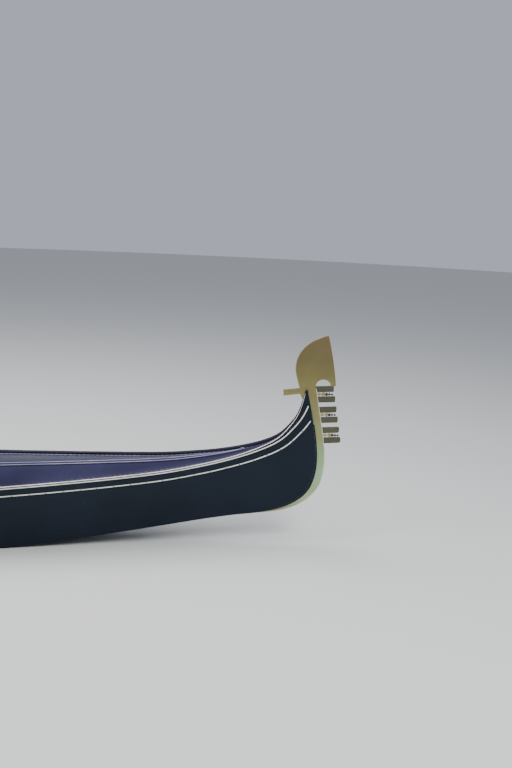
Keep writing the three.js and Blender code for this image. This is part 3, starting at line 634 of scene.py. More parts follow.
def rub_strips(name, side):
    aft, fore = STRIP_LEVEL
    for label, (near, far, stop) in STRIPS.items():
        s = np.linspace(STRIP_STERN, stop, 700)
        rise = np.clip((s - fore) / (stop - fore), 0, 1)
        astern = np.clip((aft - s) / (aft - STRIP_STERN), 0, 1)
        line = beside(s, SHEER, near + (far - near) * (rise ** 1.5 + 0.4 * astern), 0.01)
        path, at = resample(np.column_stack(on_skin(side, *line.T, s)), STRIP_STEP)
        path, normal = path[:, :3], path[:, 3:]
        section = half_round(STRIP_WIDTH, STRIP_PROUD)
        strip = bar(path, section, normal, tapered(at, 0.010, 0.25))
        mesh(f"{name}_{label}_strip", strip, "strip")
    heads = (np.arange(NAIL_PITCH / 2, at[-1], NAIL_PITCH) / STRIP_STEP).astype(int)
    heads = heads[heads < len(path) - 1]
    path, normal = path[heads], normal[heads]
    nails(f"{name}_strip_nails", path + normal * STRIP_PROUD, normal, 0.0044, "dark_iron")


def stem_nails(name, side):
    """A line of small nails that fastens the planks to the stem."""
    s = np.linspace(22.3, 25.3, 300)
    v = 0.034 / height_at(side, s)
    path, _ = resample(np.column_stack([skin(side, s, v), outward(side, s, v)]), 0.019)
    # Pale lilac heads: metal, with a painted highlight of the sky
    nails(name, path[:, :3], path[:, 3:], 0.0015, "sky_glint_metal")


# Top of the gunwale: share of its width, rise
RAIL_SHAPE = ((0, 0), (0.04, 0.0020), (0.16, 0.0035), (0.5, 0.0042), (0.84, 0.0035), (0.96, 0.0020), (1, 0))
RAIL_LOW, RAIL_GAP, RAIL_INSET, IRON_GAP, DECK_GAP = 0.6, 0.0009, 0.0012, 0.0003, 0.0011


def rail_cap(name, side):
    """Gunwale: a rounded top over the plank edge, with its inner face down to the deck."""
    s = np.linspace(0.25, LAST - 0.12, 620)
    top, length = skin(side, s, 1.0), height_at(side, s)
    outer = np.abs(top[:, 1])
    inner = np.maximum(outer - SKIN - RAIL_GAP - RAIL_WIDTH, IRON_HALF + IRON_GAP)
    low = skin(side, s, 1 - np.minimum(RAIL_HEIGHT, RAIL_LOW * length) / length, SKIN + RAIL_INSET)
    low_in = stack(low[:, 0], side * np.minimum(inner, np.abs(low[:, 1]) - 0.001), low[:, 2])
    up = above(top)
    columns = [low, skin(side, s, 1.0, SKIN + RAIL_INSET)]
    for share, rise in RAIL_SHAPE:
        columns.append(stack(top[:, 0], side * (outer - (outer - inner) * share), top[:, 2]) + up * rise)
    # The rail's violet tint is painted reflection of the sky on black lacquer
    piece = mesh(f"{name}_rail", loft(np.stack(columns + [low_in], 1)), "rail_lacquer")
    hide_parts(*(f"{name}_gunwale_{part}" for part in PARTS))


ROPE = {"strand": 0.0036, "wind": 0.0029, "pitch": 0.040, "step": 0.0048, "from": 1.2, "to": 25.75,
        "rise": 0.0012, "inset": 0.0070}


def rope_moulding(name, side):
    """Pale carved rope of two strands along the outer top edge of the gunwale."""
    top = skin(side, np.linspace(ROPE["from"], ROPE["to"], 1200), 1.0)
    path = top + above(top) * ROPE["rise"]
    path[:, 1] -= side * ROPE["inset"]
    path, at = resample(path, ROPE["step"])
    up = above(path)
    out = np.cross(up, unit(np.gradient(path, axis=0)))
    bow = np.interp(at, [at[-1] - 0.9, at[-1]], [1, 0.8])
    taper = tapered(at, 0.02, 0.15) * bow
    strands = []
    for start in (0, np.pi):
        turn = (start + at * 2 * np.pi / ROPE["pitch"])[:, None]
        line = path + ROPE["wind"] * taper[:, None] * (np.cos(turn) * up + np.sin(turn) * out)
        strands.append(bar(line, circle(ROPE["strand"], 7), (0, 0.3, 1), taper))
    mesh(f"{name}_rope_moulding", strands, "rope", smooth_angle=70)


# Decks

def deck_half(side, x):
    return np.maximum(sheer_half(side, x) - SKIN - DECK_GAP - RAIL_WIDTH, IRON_HALF + IRON_GAP) - DECK_CLEAR


def deck_top(x, across):
    crown = DECK_CROWN * fullness(x) * (1 - 0.4 * fullness(x))
    return sheer_z(x) - DECK_DROP + crown * (1 - np.abs(across) ** 1.7)


def deck_point(x, across, lift=0.0):
    x, across = np.broadcast_arrays(np.asarray(x, float), np.asarray(across, float))
    half = np.where(across < 0, deck_half(-1, x), deck_half(1, x))
    return stack(x, across * half, deck_top(x, across) + lift)


def deck(name, node, x_from, x_to):
    x, across = np.linspace(x_from, x_to, 120)[:, None], np.linspace(-1, 1, 41)
    rings = np.concatenate([deck_point(x, across), deck_point(x, across[::-1], -DECK_THICK)], 1)
    # The deck's violet-blue is painted reflection of the sky
    piece = mesh(name, loft(rings), "deck_lacquer")
    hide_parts(node)


# Carved border on the deck along the gunwale: inset, radius, least share of the radius, pitch
BORDER = {"bead": (0.005, 0.0040, 1.0, 0.030), "lobes": (0.021, 0.0095, 0.6, 0.036)}


def deck_border(name, side, x_from, x_to):
    """A bead and a row of lobes on the deck along the gunwale, lighter blue than the deck: painted
    reflection of the sky.
    """
    x = np.linspace(x_from, x_to, 500)
    half = deck_half(side, x)
    for label, (inset, radius, low, pitch) in BORDER.items():
        y = np.maximum(half - inset, half * 0.4)
        path, at = resample(stack(x, side * y, deck_top(x, y / half) - 0.003), 0.005)
        beat = low + (1 - low) * np.abs(np.sin(at * np.pi / pitch))
        thin = np.clip(np.interp(path[:, 0], x, half) / 0.16, 0.2, 1)
        part = bar(path, circle(radius, 8, 0.8), (0, 0, 1), beat * thin)
        mesh(f"{name}_{label}", part, "border", smooth_angle=60)


# Section of the ridge's fillet: share of its half width, height
FILLET = ((-1, -0.002), (-1, 0.004), (-0.6, 0.003), (0.6, 0.003), (1, 0.004), (1, -0.002))
# Half width at the ridge's tip and in full, the run between them, and its beads' radius, inset and lift
RIDGE = {"tip": 0.003, "wide": 0.030, "run": 0.42, "bead": 0.0036, "bead_in": 0.0035, "bead_up": 0.0045}


def ridge(name, node, x_from, x_to, tip):
    """Central moulding: a flat fillet with a bead along each edge, running out in a point.
    The one astern ends round, with one bead all the way."""
    x = np.linspace(x_from, x_to, 160)
    width = np.interp(np.abs(x - tip), [0, RIDGE["run"]], [RIDGE["tip"], RIDGE["wide"]])
    side, fillet = width - RIDGE["bead_in"], width - 0.003
    lines = [stack(x, edge * side) for edge in (-1, 1)]
    if tip < 0:
        fillet = fillet * np.sqrt(np.clip(1 - np.clip((x - x_to) / width + 1, 0, 1) ** 2, 0.02, 1))
        turn = np.linspace(-np.pi / 2, np.pi / 2, 14)[1:-1]
        end = stack(x_to + (np.cos(turn) - 1) * side[-1], np.sin(turn) * side[-1])
        straight = x < x_to - side[-1]
        lines = [np.concatenate([lines[0][straight], end, lines[1][straight][::-1]])]
    rings = np.stack([stack(x, share * fillet, deck_top(x, 0) + z) for share, z in FILLET], 1)
    # The fillet is black lacquer; its deck tone is painted reflection of the sky
    piece = mesh(name, loft(rings), "deck_lacquer", "lacquer")
    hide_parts(node)
    beads = []
    for line in lines:
        path = np.insert(line, 2, deck_top(line[:, 0], 0) + RIDGE["bead_up"], axis=1)
        beads.append(bar(path, circle(RIDGE["bead"], 8), (0, 0, 1)))
    # The beads' pale lilac is a painted highlight of the sky on black moulding
    mesh(f"{name}_beads", beads, "sky_glint_metal")
    # The point's pale lilac is also a painted highlight of the sky
    point = stack(np.linspace(tip - np.sign(tip) * 0.03, tip, 6), 0, deck_top(tip, 0) + 0.006)
    taper = [0.3, 0.8, 1, 0.9, 0.6, 0.15]
    mesh(f"{name}_point", bar(point, circle(0.0045, 10), (0, 0, 1), taper), "sky_glint_metal")


for side_name, sign in SIDES.items():
    planking(side_name, sign)
    rub_strips(side_name, sign)
    stem_nails(f"{side_name}_stem_nails", sign)
    rail_cap(side_name, sign)
    rope_moulding(side_name, sign)
    deck_border(f"{side_name}_foredeck_border", sign, 2.76, 4.93)
    deck_border(f"{side_name}_aft_deck_border", sign, -4.90, -1.96)
deck("foredeck_panel", "foredeck", 2.750, 4.960)
deck("aft_deck_panel", "aft_deck", -4.940, -1.950)
ridge("foredeck_moulding", "foredeck_ridge", 2.755, 4.738, 4.740)
ridge("aft_deck_moulding", "aft_deck_ridge", -4.697, -3.745, -4.700)


# Bow iron: blade and strip in one plate, six forward prongs, one aft, rolled edges, openwork

BLADE = {"tip": (5.295, 1.694), "foot": (5.366, 1.340), "front": (5.343, 1.520)}
BACK = (((5.143, 1.668), (5.075, 1.559), (5.074, 1.470)), ((5.074, 1.435), (5.078, 1.405), (5.110, 1.317)))
AFT_PRONG = ((4.995, 1.302), (4.998, 1.261), (5.113, 1.276))
HEEL = ((5.120, 1.265), (5.138, 1.230))
PRONG = {"count": 6, "root": 5.221, "tip": 5.352, "z": 1.333, "rise": 0.007, "pitch": 0.0742, "high": 0.043}
PRONG_STEP = {"root": 0.0145, "tip": 0.0138}
LUNETTE = {"centre": (5.276, 1.336), "radii": (0.053, 0.047)}
IRON_STRIP = {"from": 19.45, "grow": 3.7, "wide": 0.061, "least": 0.009, "inside": 0.0063, "top": 25.2}


def lower_edge(s, distance):
    return beside(s, LOWER, distance, 0.02)


def rim(path, radius, name, mat):
    """A rolled edge along a side-view line."""
    section = circle(1.0, 10) * [IRON_HALF + 0.0006, radius]
    step = np.arange(len(path))
    ends = np.clip(np.minimum(step, step[::-1]) / 3 + 0.3, 0, 1)
    path = np.insert(path, 1, 0.0, axis=-1)
    mesh(name, bar(path, section, (0, 1, 0), ends), mat, smooth_angle=60)


def prong_root(k):
    """Side-view place of the upper corner at the root of prong k."""
    return PRONG["root"] + PRONG_STEP["root"] * k, PRONG["z"] - PRONG["pitch"] * k


def prong(k):
    """One forward prong: square at its root, rounded at its tip."""
    (root, top), end = prong_root(k), PRONG["tip"] + PRONG_STEP["tip"] * k
    corner, rise = 0.005 + 0.0016 * k, PRONG["rise"]
    low, radii = top - PRONG["high"], (corner, corner)
    loop = np.concatenate([[(root, low)], arc((end - corner, low + rise + corner), radii, -np.pi / 2, 0),
                           arc((end - corner, top + rise - corner), radii, 0, np.pi / 2), [(root, top)]])
    return plate(loop, IRON_HALF - 0.0012, 0.0007)


# Openwork between prongs 1 and 2, 3 and 4, 5 and 6: reach and radius along each turned piece
FLOWER_RING = {"at": 0.061, "radius": 0.0095, "thick": 0.0042}
OPENWORK = {
    "gilt": ((0, 0.003), (0.010, 0.003), (0.018, 0.0065), (0.028, 0.0115), (0.036, 0.0100), (0.042, 0.0050),
             (0.072, 0.0030)),
    "dark": ((0.070, 0.0030), (0.074, 0.0080), (0.081, 0.0115), (0.088, 0.0085), (0.094, 0.0030),
             (0.098, 0.0078), (0.104, 0.0078), (0.109, 0.0028), (0.113, 0.0030), (0.117, 0.0068),
             (0.124, 0.0068), (0.128, 0.0020)),
}
PETAL = ((-0.003, 0.001), (-0.002, 0.003), (0.002, 0.003), (0.003, 0.001))
EYE = ((-0.004, 0.001), (-0.002, 0.0045), (0.002, 0.0045), (0.004, 0.001))


def openwork(k):
    """Gilt ring flower and dark beads, run out from the root of the gap under prong k."""
    x, z = prong_root(k)
    z += 0.003 - (PRONG["pitch"] + PRONG["high"]) / 2
    middle, radius = x + FLOWER_RING["at"], FLOWER_RING["radius"]
    ring = np.insert(circle(radius, 24) + [middle, z], 1, 0, axis=1)
    gilt = [lathe(OPENWORK["gilt"], 12, 0, (x, 0, z)),
            ring_sweep(ring, circle(FLOWER_RING["thick"], 8), (0, 1, 0))]
    gilt += [lathe(PETAL, 8, 1, (middle + u, 0, z + w)) for u, w in circle(1.35 * radius, 8)]
    dark = [lathe(OPENWORK["dark"], 12, 0, (x, 0, z)), lathe(EYE, 10, 1, (middle, 0, z))]
    for along in (0.028, 0.081, 0.101):
        for ends in ((-0.0195, -0.004), (0.004, 0.0205)):
            dark.append(tube([(x + along, 0, z + w) for w in ends], (0.0014, 0.0014), 6, 1.0, (1, 0, 0), 2))
    return gilt, dark


def bow_iron():
    front_edge = quadratic(BLADE["foot"], BLADE["front"], BLADE["tip"])
    back = np.concatenate([bezier(BLADE["tip"], *BACK[0], 24), bezier(BACK[0][-1], *BACK[1], 12)[1:]])
    rows = np.arange(IRON_STRIP["from"], IRON_STRIP["top"], 0.05)
    inner = lower_edge(rows, IRON_STRIP["inside"])
    grown = np.clip((rows - IRON_STRIP["from"] + 0.2) / IRON_STRIP["grow"], 0, 1)
    front = lower_edge(rows, np.maximum(IRON_STRIP["least"], IRON_STRIP["wide"] * grown))
    roots = np.array([prong_root(k) for k in reversed(range(PRONG["count"]))]) + [0.002, 0]
    lowest = roots[0] + [0.004, -PRONG["high"]]
    front, roots = front[front[:, 1] < lowest[1] - 0.02], np.concatenate([[lowest], roots])
    lunette = arc(LUNETTE["centre"], LUNETTE["radii"], np.pi, 0, 30)
    outline = np.concatenate([front_edge, back[1:], AFT_PRONG, HEEL, inner[::-1], front, roots, lunette])
    piece = mesh("bow_iron_plate", plate(outline, IRON_HALF, 0.0009), "bow_iron")
    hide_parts("bow_iron")
    # The prongs' darker tone is painted shade on the same iron
    mesh("bow_iron_prongs", [prong(k) for k in range(PRONG["count"])], "prong_shade_iron")
    # The back rim's lighter tone is a painted highlight on the rounded edge
    rim(back + [0.0016, -0.0012], 0.0022, "bow_iron_back_rim", "back_edge_highlight_iron")
    # The front rim's near white is a painted highlight along the edge of the plate
    edge, _ = resample(np.concatenate([front[40:] + [-0.0034, 0], roots + [0.0002, 0]]), 0.01)
    rim(edge, 0.0034, "bow_iron_front_rim", "rim_highlight_iron")
    works = [openwork(k) for k in (0, 2, 4)]
    for column, label, mat in ((0, "flowers", "worn_gilt"), (1, "beads", "dark_iron")):
        verts, faces = gather([part for work in works for part in work[column]])
        verts[:, 1] *= 0.45
        mesh(f"bow_iron_{label}", (verts, faces), mat)


LEAF = {"tip": (-5.420, 1.530), "outer": (-5.345, 1.440), "inner": (-5.330, 1.500), "heel": (-5.287, 1.436)}
STERN_STRIP = {"from": 0.35, "to": 3.4, "wide": 0.034}


def stern_iron():
    rows = np.arange(STERN_STRIP["from"], STERN_STRIP["to"] + 0.01, 0.05)
    inner = lower_edge(rows, IRON_STRIP["inside"])
    outer = lower_edge(rows, STERN_STRIP["wide"] * np.minimum(1, (STERN_STRIP["to"] - rows) / 2 + 0.35))
    rise = quadratic(LEAF["heel"], LEAF["inner"], LEAF["tip"])
    fall = quadratic(LEAF["tip"], LEAF["outer"], outer[0])
    outline = np.concatenate([inner[::-1], rise, fall[1:-1], outer])
    piece = mesh("stern_iron_plate", plate(outline, IRON_HALF, 0.0014), "bow_iron")
    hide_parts("stern_iron")
    # The stern rim's near white is a painted highlight along its rolled edge
    edge, _ = resample(np.concatenate([fall[2:-1], outer[:-8]]) + [0.0016, 0], 0.012)
    rim(edge, 0.0020, "stern_iron_rim", "rim_highlight_iron")


bow_iron()
stern_iron()


# Doors and carving of the bulkheads

DOORS = {
    "bow": {"y": (-0.150, 0.270), "z": (0.230, 0.520), "face": 2.750, "facing": -1},
    "stern": {"y": (-0.130, 0.250), "z": (0.180, 0.480), "face": -1.950, "facing": 1},
}
KNOB = ((0, 0.010), (0.002, 0.010), (0.004, 0.005), (0.009, 0.0045), (0.013, 0.0095), (0.018, 0.0115),
        (0.023, 0.0085), (0.026, 0.001))


def locker(name, y, z, face, facing):
    """Moulded frame around the opening, raised panel, carving and knob on the door."""
    def moulding(inset, at, width, proud):
        lo, hi = (y[0] + inset, z[0] + inset), (y[1] - inset, z[1] - inset)
        return frame_moulding(lo, hi, at, width, proud, facing=facing)
    mesh(f"{name}_door_frame", moulding(-0.022, face + facing * 0.0002, 0.026, 0.009), "lacquer")
    body, middle = f"{name}_locker_door", ((y[0] + y[1]) / 2, (z[0] + z[1]) / 2)
    panels = [moulding(0.035, face, 0.014, 0.006), moulding(0.055, face, 0.007, 0.004)]
    mesh(f"{name}_door_panel", panels, "lacquer", body=body)
    mesh(f"{name}_door_carving", flower(middle, 0.075, 0.034, face, facing, lift=0.001), "gilt", body=body)
    knob = lathe(np.array(KNOB) * [facing, 1], 18, 0, (face, y[1] - 0.020, middle[1]))
    mesh(f"{name}_door_knob", knob, "brass", body=body)


def deck_edge_carving(name, x, facing):
    """Carved band under the open edge of a deck, on its bulkhead."""
    parts = []
    for side in (-1, 1):
        half = float(deck_half(side, x))
        for share in 0.2 + 0.26 * np.arange(3):
            place = (side * half * share, float(deck_top(x, share)) - DECK_THICK - 0.034)
            parts += leaf_spray(place, 0.054, side, x, proud=facing * 0.005)
    middle = (0.03, float(deck_top(x, 0)) - DECK_THICK - 0.040)
    mesh(name, parts + rosette(middle, 0.031, x, facing=facing), "gilt")


for door_name, door in DOORS.items():
    locker(door_name, **door)
for door_name, door in DOORS.items():
    deck_edge_carving(f"{door_name}_bulkhead_carving", door["face"], door["facing"])


# Floorboards and thwarts

def node_rows(name):
    """A long board's places along x, and its edges and heights there, read from its own mesh."""
    points = np.array([v.co[:] for v in NODES[name].data.vertices])
    xs = np.unique(points[:, 0].round(4))
    rows = [points[np.abs(points[:, 0] - x) < 2e-3] for x in xs]
    return xs, np.array([[r[:, 1].min(), r[:, 1].max(), r[:, 2].min(), r[:, 2].max()] for r in rows])


def rounded(r, lo, hi):
    """Corners of a section whose upper edges are rounded, at a radius r."""
    (a, z0), (b, z1) = lo, hi
    return [(a, z0), (b, z0), (b, z1 - r), (b - 0.3 * r, z1 - 0.3 * r), (b - r, z1), (a + r, z1),
            (a + 0.3 * r, z1 - 0.3 * r), (a, z1 - r)]


def slats(name, node, count, gap=0.004):
    """Floorboards: planks side by side with rounded edges, each with a row of nails."""
    xs, rows = node_rows(node)
    x = np.linspace(xs[0], xs[-1], 60)
    y0, y1, z0, z1 = (np.interp(x, xs, row) for row in rows.T)
    parts, heads = [], []
    for k in range(count):
        a, b = y0 + (y1 - y0) * k / count + gap / 2, y0 + (y1 - y0) * (k + 1) / count - gap / 2
        parts.append(loft(np.stack([stack(x, u, w) for u, w in rounded(0.003, (a, z0), (b, z1))], 1)))
        for along in np.arange(xs[0] + 0.05, xs[-1] - 0.03, 0.42):
            for share in (0.25, 0.75):
                line = a * (1 - share) + b * share
                heads.append((along, np.interp(along, x, line), np.interp(along, x, z1)))
    piece = mesh(name, parts, "floorboards")
    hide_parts(node)
    nails(f"{name}_nails", np.array(heads), np.tile([0, 0, 1.0], (len(heads), 1)), 0.0032)


def thwart(name, node):
    """A seat plank with rounded edges and a brass line on top near each edge."""
    lo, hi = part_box(node)
    xs, rows = node_rows(node)
    y0, y1 = rows[:, 0], rows[:, 1]
    r, x0, x1, z0, z1 = 0.008, lo.x, hi.x, lo.z, hi.z
    side = [(x0 + r, z0), (x1 - r, z0), (x1 - 0.3 * r, z0 + 0.3 * r), (x1, z0 + r), (x1, z1 - r),
            (x1 - 0.3 * r, z1 - 0.3 * r), (x1 - r, z1), (x0 + r, z1), (x0 + 0.3 * r, z1 - 0.3 * r),
            (x0, z1 - r), (x0, z0 + r), (x0 + 0.3 * r, z0 + 0.3 * r)]
    x, z = np.array(side).T
    rings = [stack(x, (1 - share) * np.interp(x, xs, y0) + share * np.interp(x, xs, y1), z)
             for share in np.linspace(0, 1, 12)]
    piece = mesh(name, loft(np.array(rings)), "lacquer")
    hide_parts(node)
    lines = []
    for x in (x0 + 0.018, x1 - 0.018):
        ends = [(x, np.interp(x, xs, y) + inset, z1) for y, inset in ((y0, 0.03), (y1, -0.03))]
        lines.append(bar(resample(ends, 0.05)[0], half_round(0.005, 0.0012), (0, 0, 1)))
    mesh(f"{name}_lines", lines, "brass")


for place, count in (("fore", 8), ("cabin", 9), ("aft", 8)):
    slats(f"{place}_floor_slats", f"{place}_floorboards", count)
for place in ("fore", "aft"):
    thwart(f"{place}_thwart_plank", f"{place}_thwart")


# Seat, benches and armrests

def panelled_face(name, lo, hi, at, facing, axes, panels, spray):
    """Raised frames along a flat face, with a carved spray in each."""
    frames, carving = [], []
    step, margin = (hi[0] - lo[0]) / panels, 0.022
    for k in range(panels):
        a = (lo[0] + step * k + margin, lo[1] + margin)
        b = (lo[0] + step * (k + 1) - margin, hi[1] - margin)
        frames.append(frame_moulding(a, b, at, 0.012, 0.005, axes, facing))
        centre = ((a[0] + b[0]) / 2, (a[1] + b[1]) / 2)
        carving += flower(centre, spray, spray * 0.36, at, facing, axes, 0.004, 0.005)
    mesh(f"{name}_frames", frames, "lacquer")
    mesh(f"{name}_carving", carving, "gilt")


seat_lo, seat_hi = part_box("seat_base")
back_lo, back_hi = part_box("seat_back")
panelled_face("seat_front", (seat_lo.y, seat_lo.z + 0.055), (seat_hi.y, seat_hi.z), seat_hi.x, 1, CROSS,
              3, 0.055)
panelled_face("seat_back_panel", (back_lo.y + 0.02, back_lo.z + 0.03), (back_hi.y - 0.02, 0.80), back_lo.x,
              -1, CROSS, 1, 0.15)
for bench, inner in (("starboard_bench", 1), ("port_bench", -1)):
    lo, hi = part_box(bench)
    low = lo.z + 0.045
    at = hi.y if inner > 0 else lo.y
    panelled_face(f"{bench}_face", (lo.x, low), (hi.x, hi.z), at, inner, UPRIGHT, 2, 0.05)
    for end, x, facing in (("aft", lo.x, -1), ("fore", hi.x, 1)):
        panelled_face(f"{bench}_end_{end}", (lo.y, low), (hi.y, hi.z), x, facing, CROSS, 1, 0.05)


def seat_crest():
    """Gilt moulding along the curved top of the seat back, with a carved crest in its middle."""
    y0, y1, shoulder, top, middle = back_lo.y, back_hi.y, back_hi.z - 0.12, back_hi.z, 0.07
    half = bezier((y1, shoulder), (y1 - 0.06, shoulder + 0.02), (middle + 0.16, top), (middle, top))
    other = bezier((middle, top), (middle - 0.16, top), (y0 + 0.06, shoulder + 0.02), (y0, shoulder))
    line = np.concatenate([[(y1, 0.45), (y1, 0.65)], half, other[1:], [(y0, 0.65), (y0, 0.45)]])
    line = line + (np.array([middle, 0.6]) - line) * [0.022, 0.03]
    parts = []
    for x, facing, lowest in ((back_hi.x, 1, 0.57), (back_lo.x, -1, 0)):
        path, _ = resample(np.insert(line, 0, x, axis=1), 0.012)
        path = path[path[:, 2] > lowest]
        parts.append(bar(path, half_round(0.014, 0.006), (facing, 0, 0)))
    mesh("seat_back_moulding", parts, "gilt")
    carving = rosette((middle, 0.905), 0.034, back_hi.x)
    for mirror in (-1, 1):
        carving += leaf_spray((middle, 0.868), 0.105, mirror, back_hi.x, proud=0.007)
    mesh("seat_back_crest", carving, "gilt")


# Outline of an armrest's front and top: back from its front end, up from its foot
ARM_FRONT = ((0.03, 0), (0.012, 0.04), (0.045, 0.11), (0.012, 0.150), (0.002, 0.190), (0.03, 0.226),
             (0.10, 0.218), (0.25, 0.190))


def armrest(name):
    """Shaped arm: a scrolled front and a dipped top, with gilt carving on each face."""
    lo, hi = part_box(name)
    front = [(hi.x - u, lo.z + w) for u, w in ARM_FRONT]
    back = [(lo.x + 0.12, lo.z + 0.196), (lo.x, lo.z + 0.226)]
    outline = curve_through([(lo.x, lo.z), *front, *back], 8, True)
    outline = np.clip(outline, (lo.x, lo.z), (hi.x, hi.z))
    piece = mesh(f"{name}_panel", plate(outline, (hi.y - lo.y) / 2, 0.007, (lo.y + hi.y) / 2), "lacquer")
    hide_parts(name)
    parts, eye = [], (hi.x - 0.045, lo.z + 0.182)
    for y, proud in ((lo.y, -0.004), (hi.y, 0.004)):
        parts.append(scroll(eye, 0.028, 1.7, math.pi / 2, 0.010, UPRIGHT, 1, y, proud))
        for mirror in (-1, 1):
            parts += leaf_spray((hi.x - 0.28, lo.z + 0.10), 0.08, mirror, y, UPRIGHT, proud)
    mesh(f"{name}_carving", parts, "gilt")


seat_crest()
for side_name in SIDES:
    armrest(f"{side_name}_armrest")


# Cushions, inflated as cloth

def block_mesh(name, lo, hi, step):
    """A closed box of even quads."""
    bm = bmesh.new()
    bmesh.ops.create_cube(bm, size=1.0)
    size = hi - lo
    for axis in range(3):
        edges = [e for e in bm.edges if abs((e.verts[0].co - e.verts[1].co)[axis]) > 0.999]
        cuts = max(2, int(size[axis] / step)) - 1
        bmesh.ops.subdivide_edges(bm, edges=edges, cuts=cuts, use_grid_fill=True)
    for v in bm.verts:
        v.co = Vector((lo + (np.array(v.co) + 0.5) * size).tolist())
    data = bpy.data.meshes.new(name)
    bm.to_mesh(data)
    bm.free()
    return new_object(name, data)


def coords(data):
    flat = np.empty(len(data.vertices) * 3)
    data.vertices.foreach_get("co", flat)
    return flat.reshape(-1, 3)


CLOTH = {"frames": 18, "pressure": 4.0, "mass": 0.25, "stretch": 12, "bend": 0.8, "tuft": 0.018}


def inflate(obj, cap, tufts):
    """Blows a block up as cloth, held down at its tufts, and caps how far a point may go."""
    rest = coords(obj.data)
    held = np.zeros(len(rest), bool)
    for tuft in tufts:
        held |= np.linalg.norm(rest - tuft, axis=1) < CLOTH["tuft"]
    group = obj.vertex_groups.new(name="tufts")
    group.add([int(i) for i in np.flatnonzero(held)], 1.0, "REPLACE")
    cloth = obj.modifiers.new("Cloth", "CLOTH")
    settings = cloth.settings
    settings.quality = 5
    settings.mass = CLOTH["mass"]
    settings.tension_stiffness = settings.compression_stiffness = CLOTH["stretch"]
    settings.bending_stiffness = CLOTH["bend"]
    settings.vertex_group_mass = "tufts"
    settings.use_pressure = True
    settings.uniform_pressure_force = CLOTH["pressure"]
    settings.effector_weights.gravity = 0
    cloth.point_cache.frame_start, cloth.point_cache.frame_end = 1, CLOTH["frames"]
    for number in range(1, CLOTH["frames"] + 1):
        bpy.context.scene.frame_set(number)
    swollen = obj.evaluated_get(bpy.context.evaluated_depsgraph_get()).to_mesh()
    shift = coords(swollen) - rest
    obj.modifiers.remove(cloth)
    obj.vertex_groups.clear()
    length = np.linalg.norm(shift, axis=1, keepdims=True)
    rest += shift * cap * np.tanh(length / cap) / np.maximum(length, 1e-9)
    obj.data.vertices.foreach_set("co", rest.ravel())
    bpy.context.scene.frame_set(1)


# Dips pressed into a cushion, each a depth and a spread. Tufts this near each other share a crease
TUFT_DIPS = ((0.010, 0.016), (0.006, 0.045))
CREASE, CREASE_REACH = (0.0035, 0.009), 0.23


def pockets(verts, places, across, axis, on_face):
    """Presses the face in at its tufts, and in a crease from each tuft to its neighbours."""
    def press(gap, *dips):
        for depth, spread in dips:
            verts[:, axis] -= on_face * depth * np.exp(-(gap / spread) ** 2)
    for place in places:
        press(np.linalg.norm((verts - place)[:, across], axis=1), *TUFT_DIPS)
    for a, place in enumerate(places):
        for other in places[a + 1:]:
            span = np.linalg.norm(other - place)
            if span < CREASE_REACH:
                along = unit(other - place)
                t = np.clip((verts - place) @ along, 0, span)
                press(np.linalg.norm(verts - place - t[:, None] * along, axis=1), CREASE)


PIPING = {"radius": 0.0034, "corner": 0.016, "step": 0.012, "low": 0.006, "high": 0.015}
BUTTON = ((-0.002, 0.0095), (0.0015, 0.0095), (0.0042, 0.0075), (0.0058, 0.004), (0.0064, 0.0005))


def piping(tree, box, inner, across, axis, level):
    """A cord of piping round the cushion, laid on the inflated cloth at one level."""
    (lo, hi), (inner_lo, inner_hi), r = box, inner, PIPING["corner"]
    (u0, w0), (u1, w1) = inner_lo[across], inner_hi[across]
    corners = ((u1 - r, w1 - r), (u0 + r, w1 - r), (u0 + r, w0 + r), (u1 - r, w0 + r))
    turns = [arc(at, (r, r), k * np.pi / 2, (k + 1) * np.pi / 2) for k, at in enumerate(corners)]
    path, _ = resample(np.concatenate([*turns, turns[0][:1]]), PIPING["step"])
    points = []
    for flat in path[:-1]:
        place = np.full(3, level)
        place[across] = flat
        out = Vector(((place - (inner_lo + inner_hi) / 2) * (np.arange(3) != axis)).tolist()).normalized()
        near = tree.ray_cast(Vector(place.tolist()) + out * 0.06, -out)[0]
        points.append(near or place)
    points = np.array(points)
    for _ in range(2):
        points = 0.25 * np.roll(points, 1, 0) + 0.5 * points + 0.25 * np.roll(points, -1, 0)
    points = np.clip(points, lo + PIPING["radius"], hi - PIPING["radius"])
    return ring_sweep(points, circle(PIPING["radius"], 8), np.eye(3)[axis])


CUSHION = {"underside": 0.0035, "corner": 0.045, "clear": 0.0004}


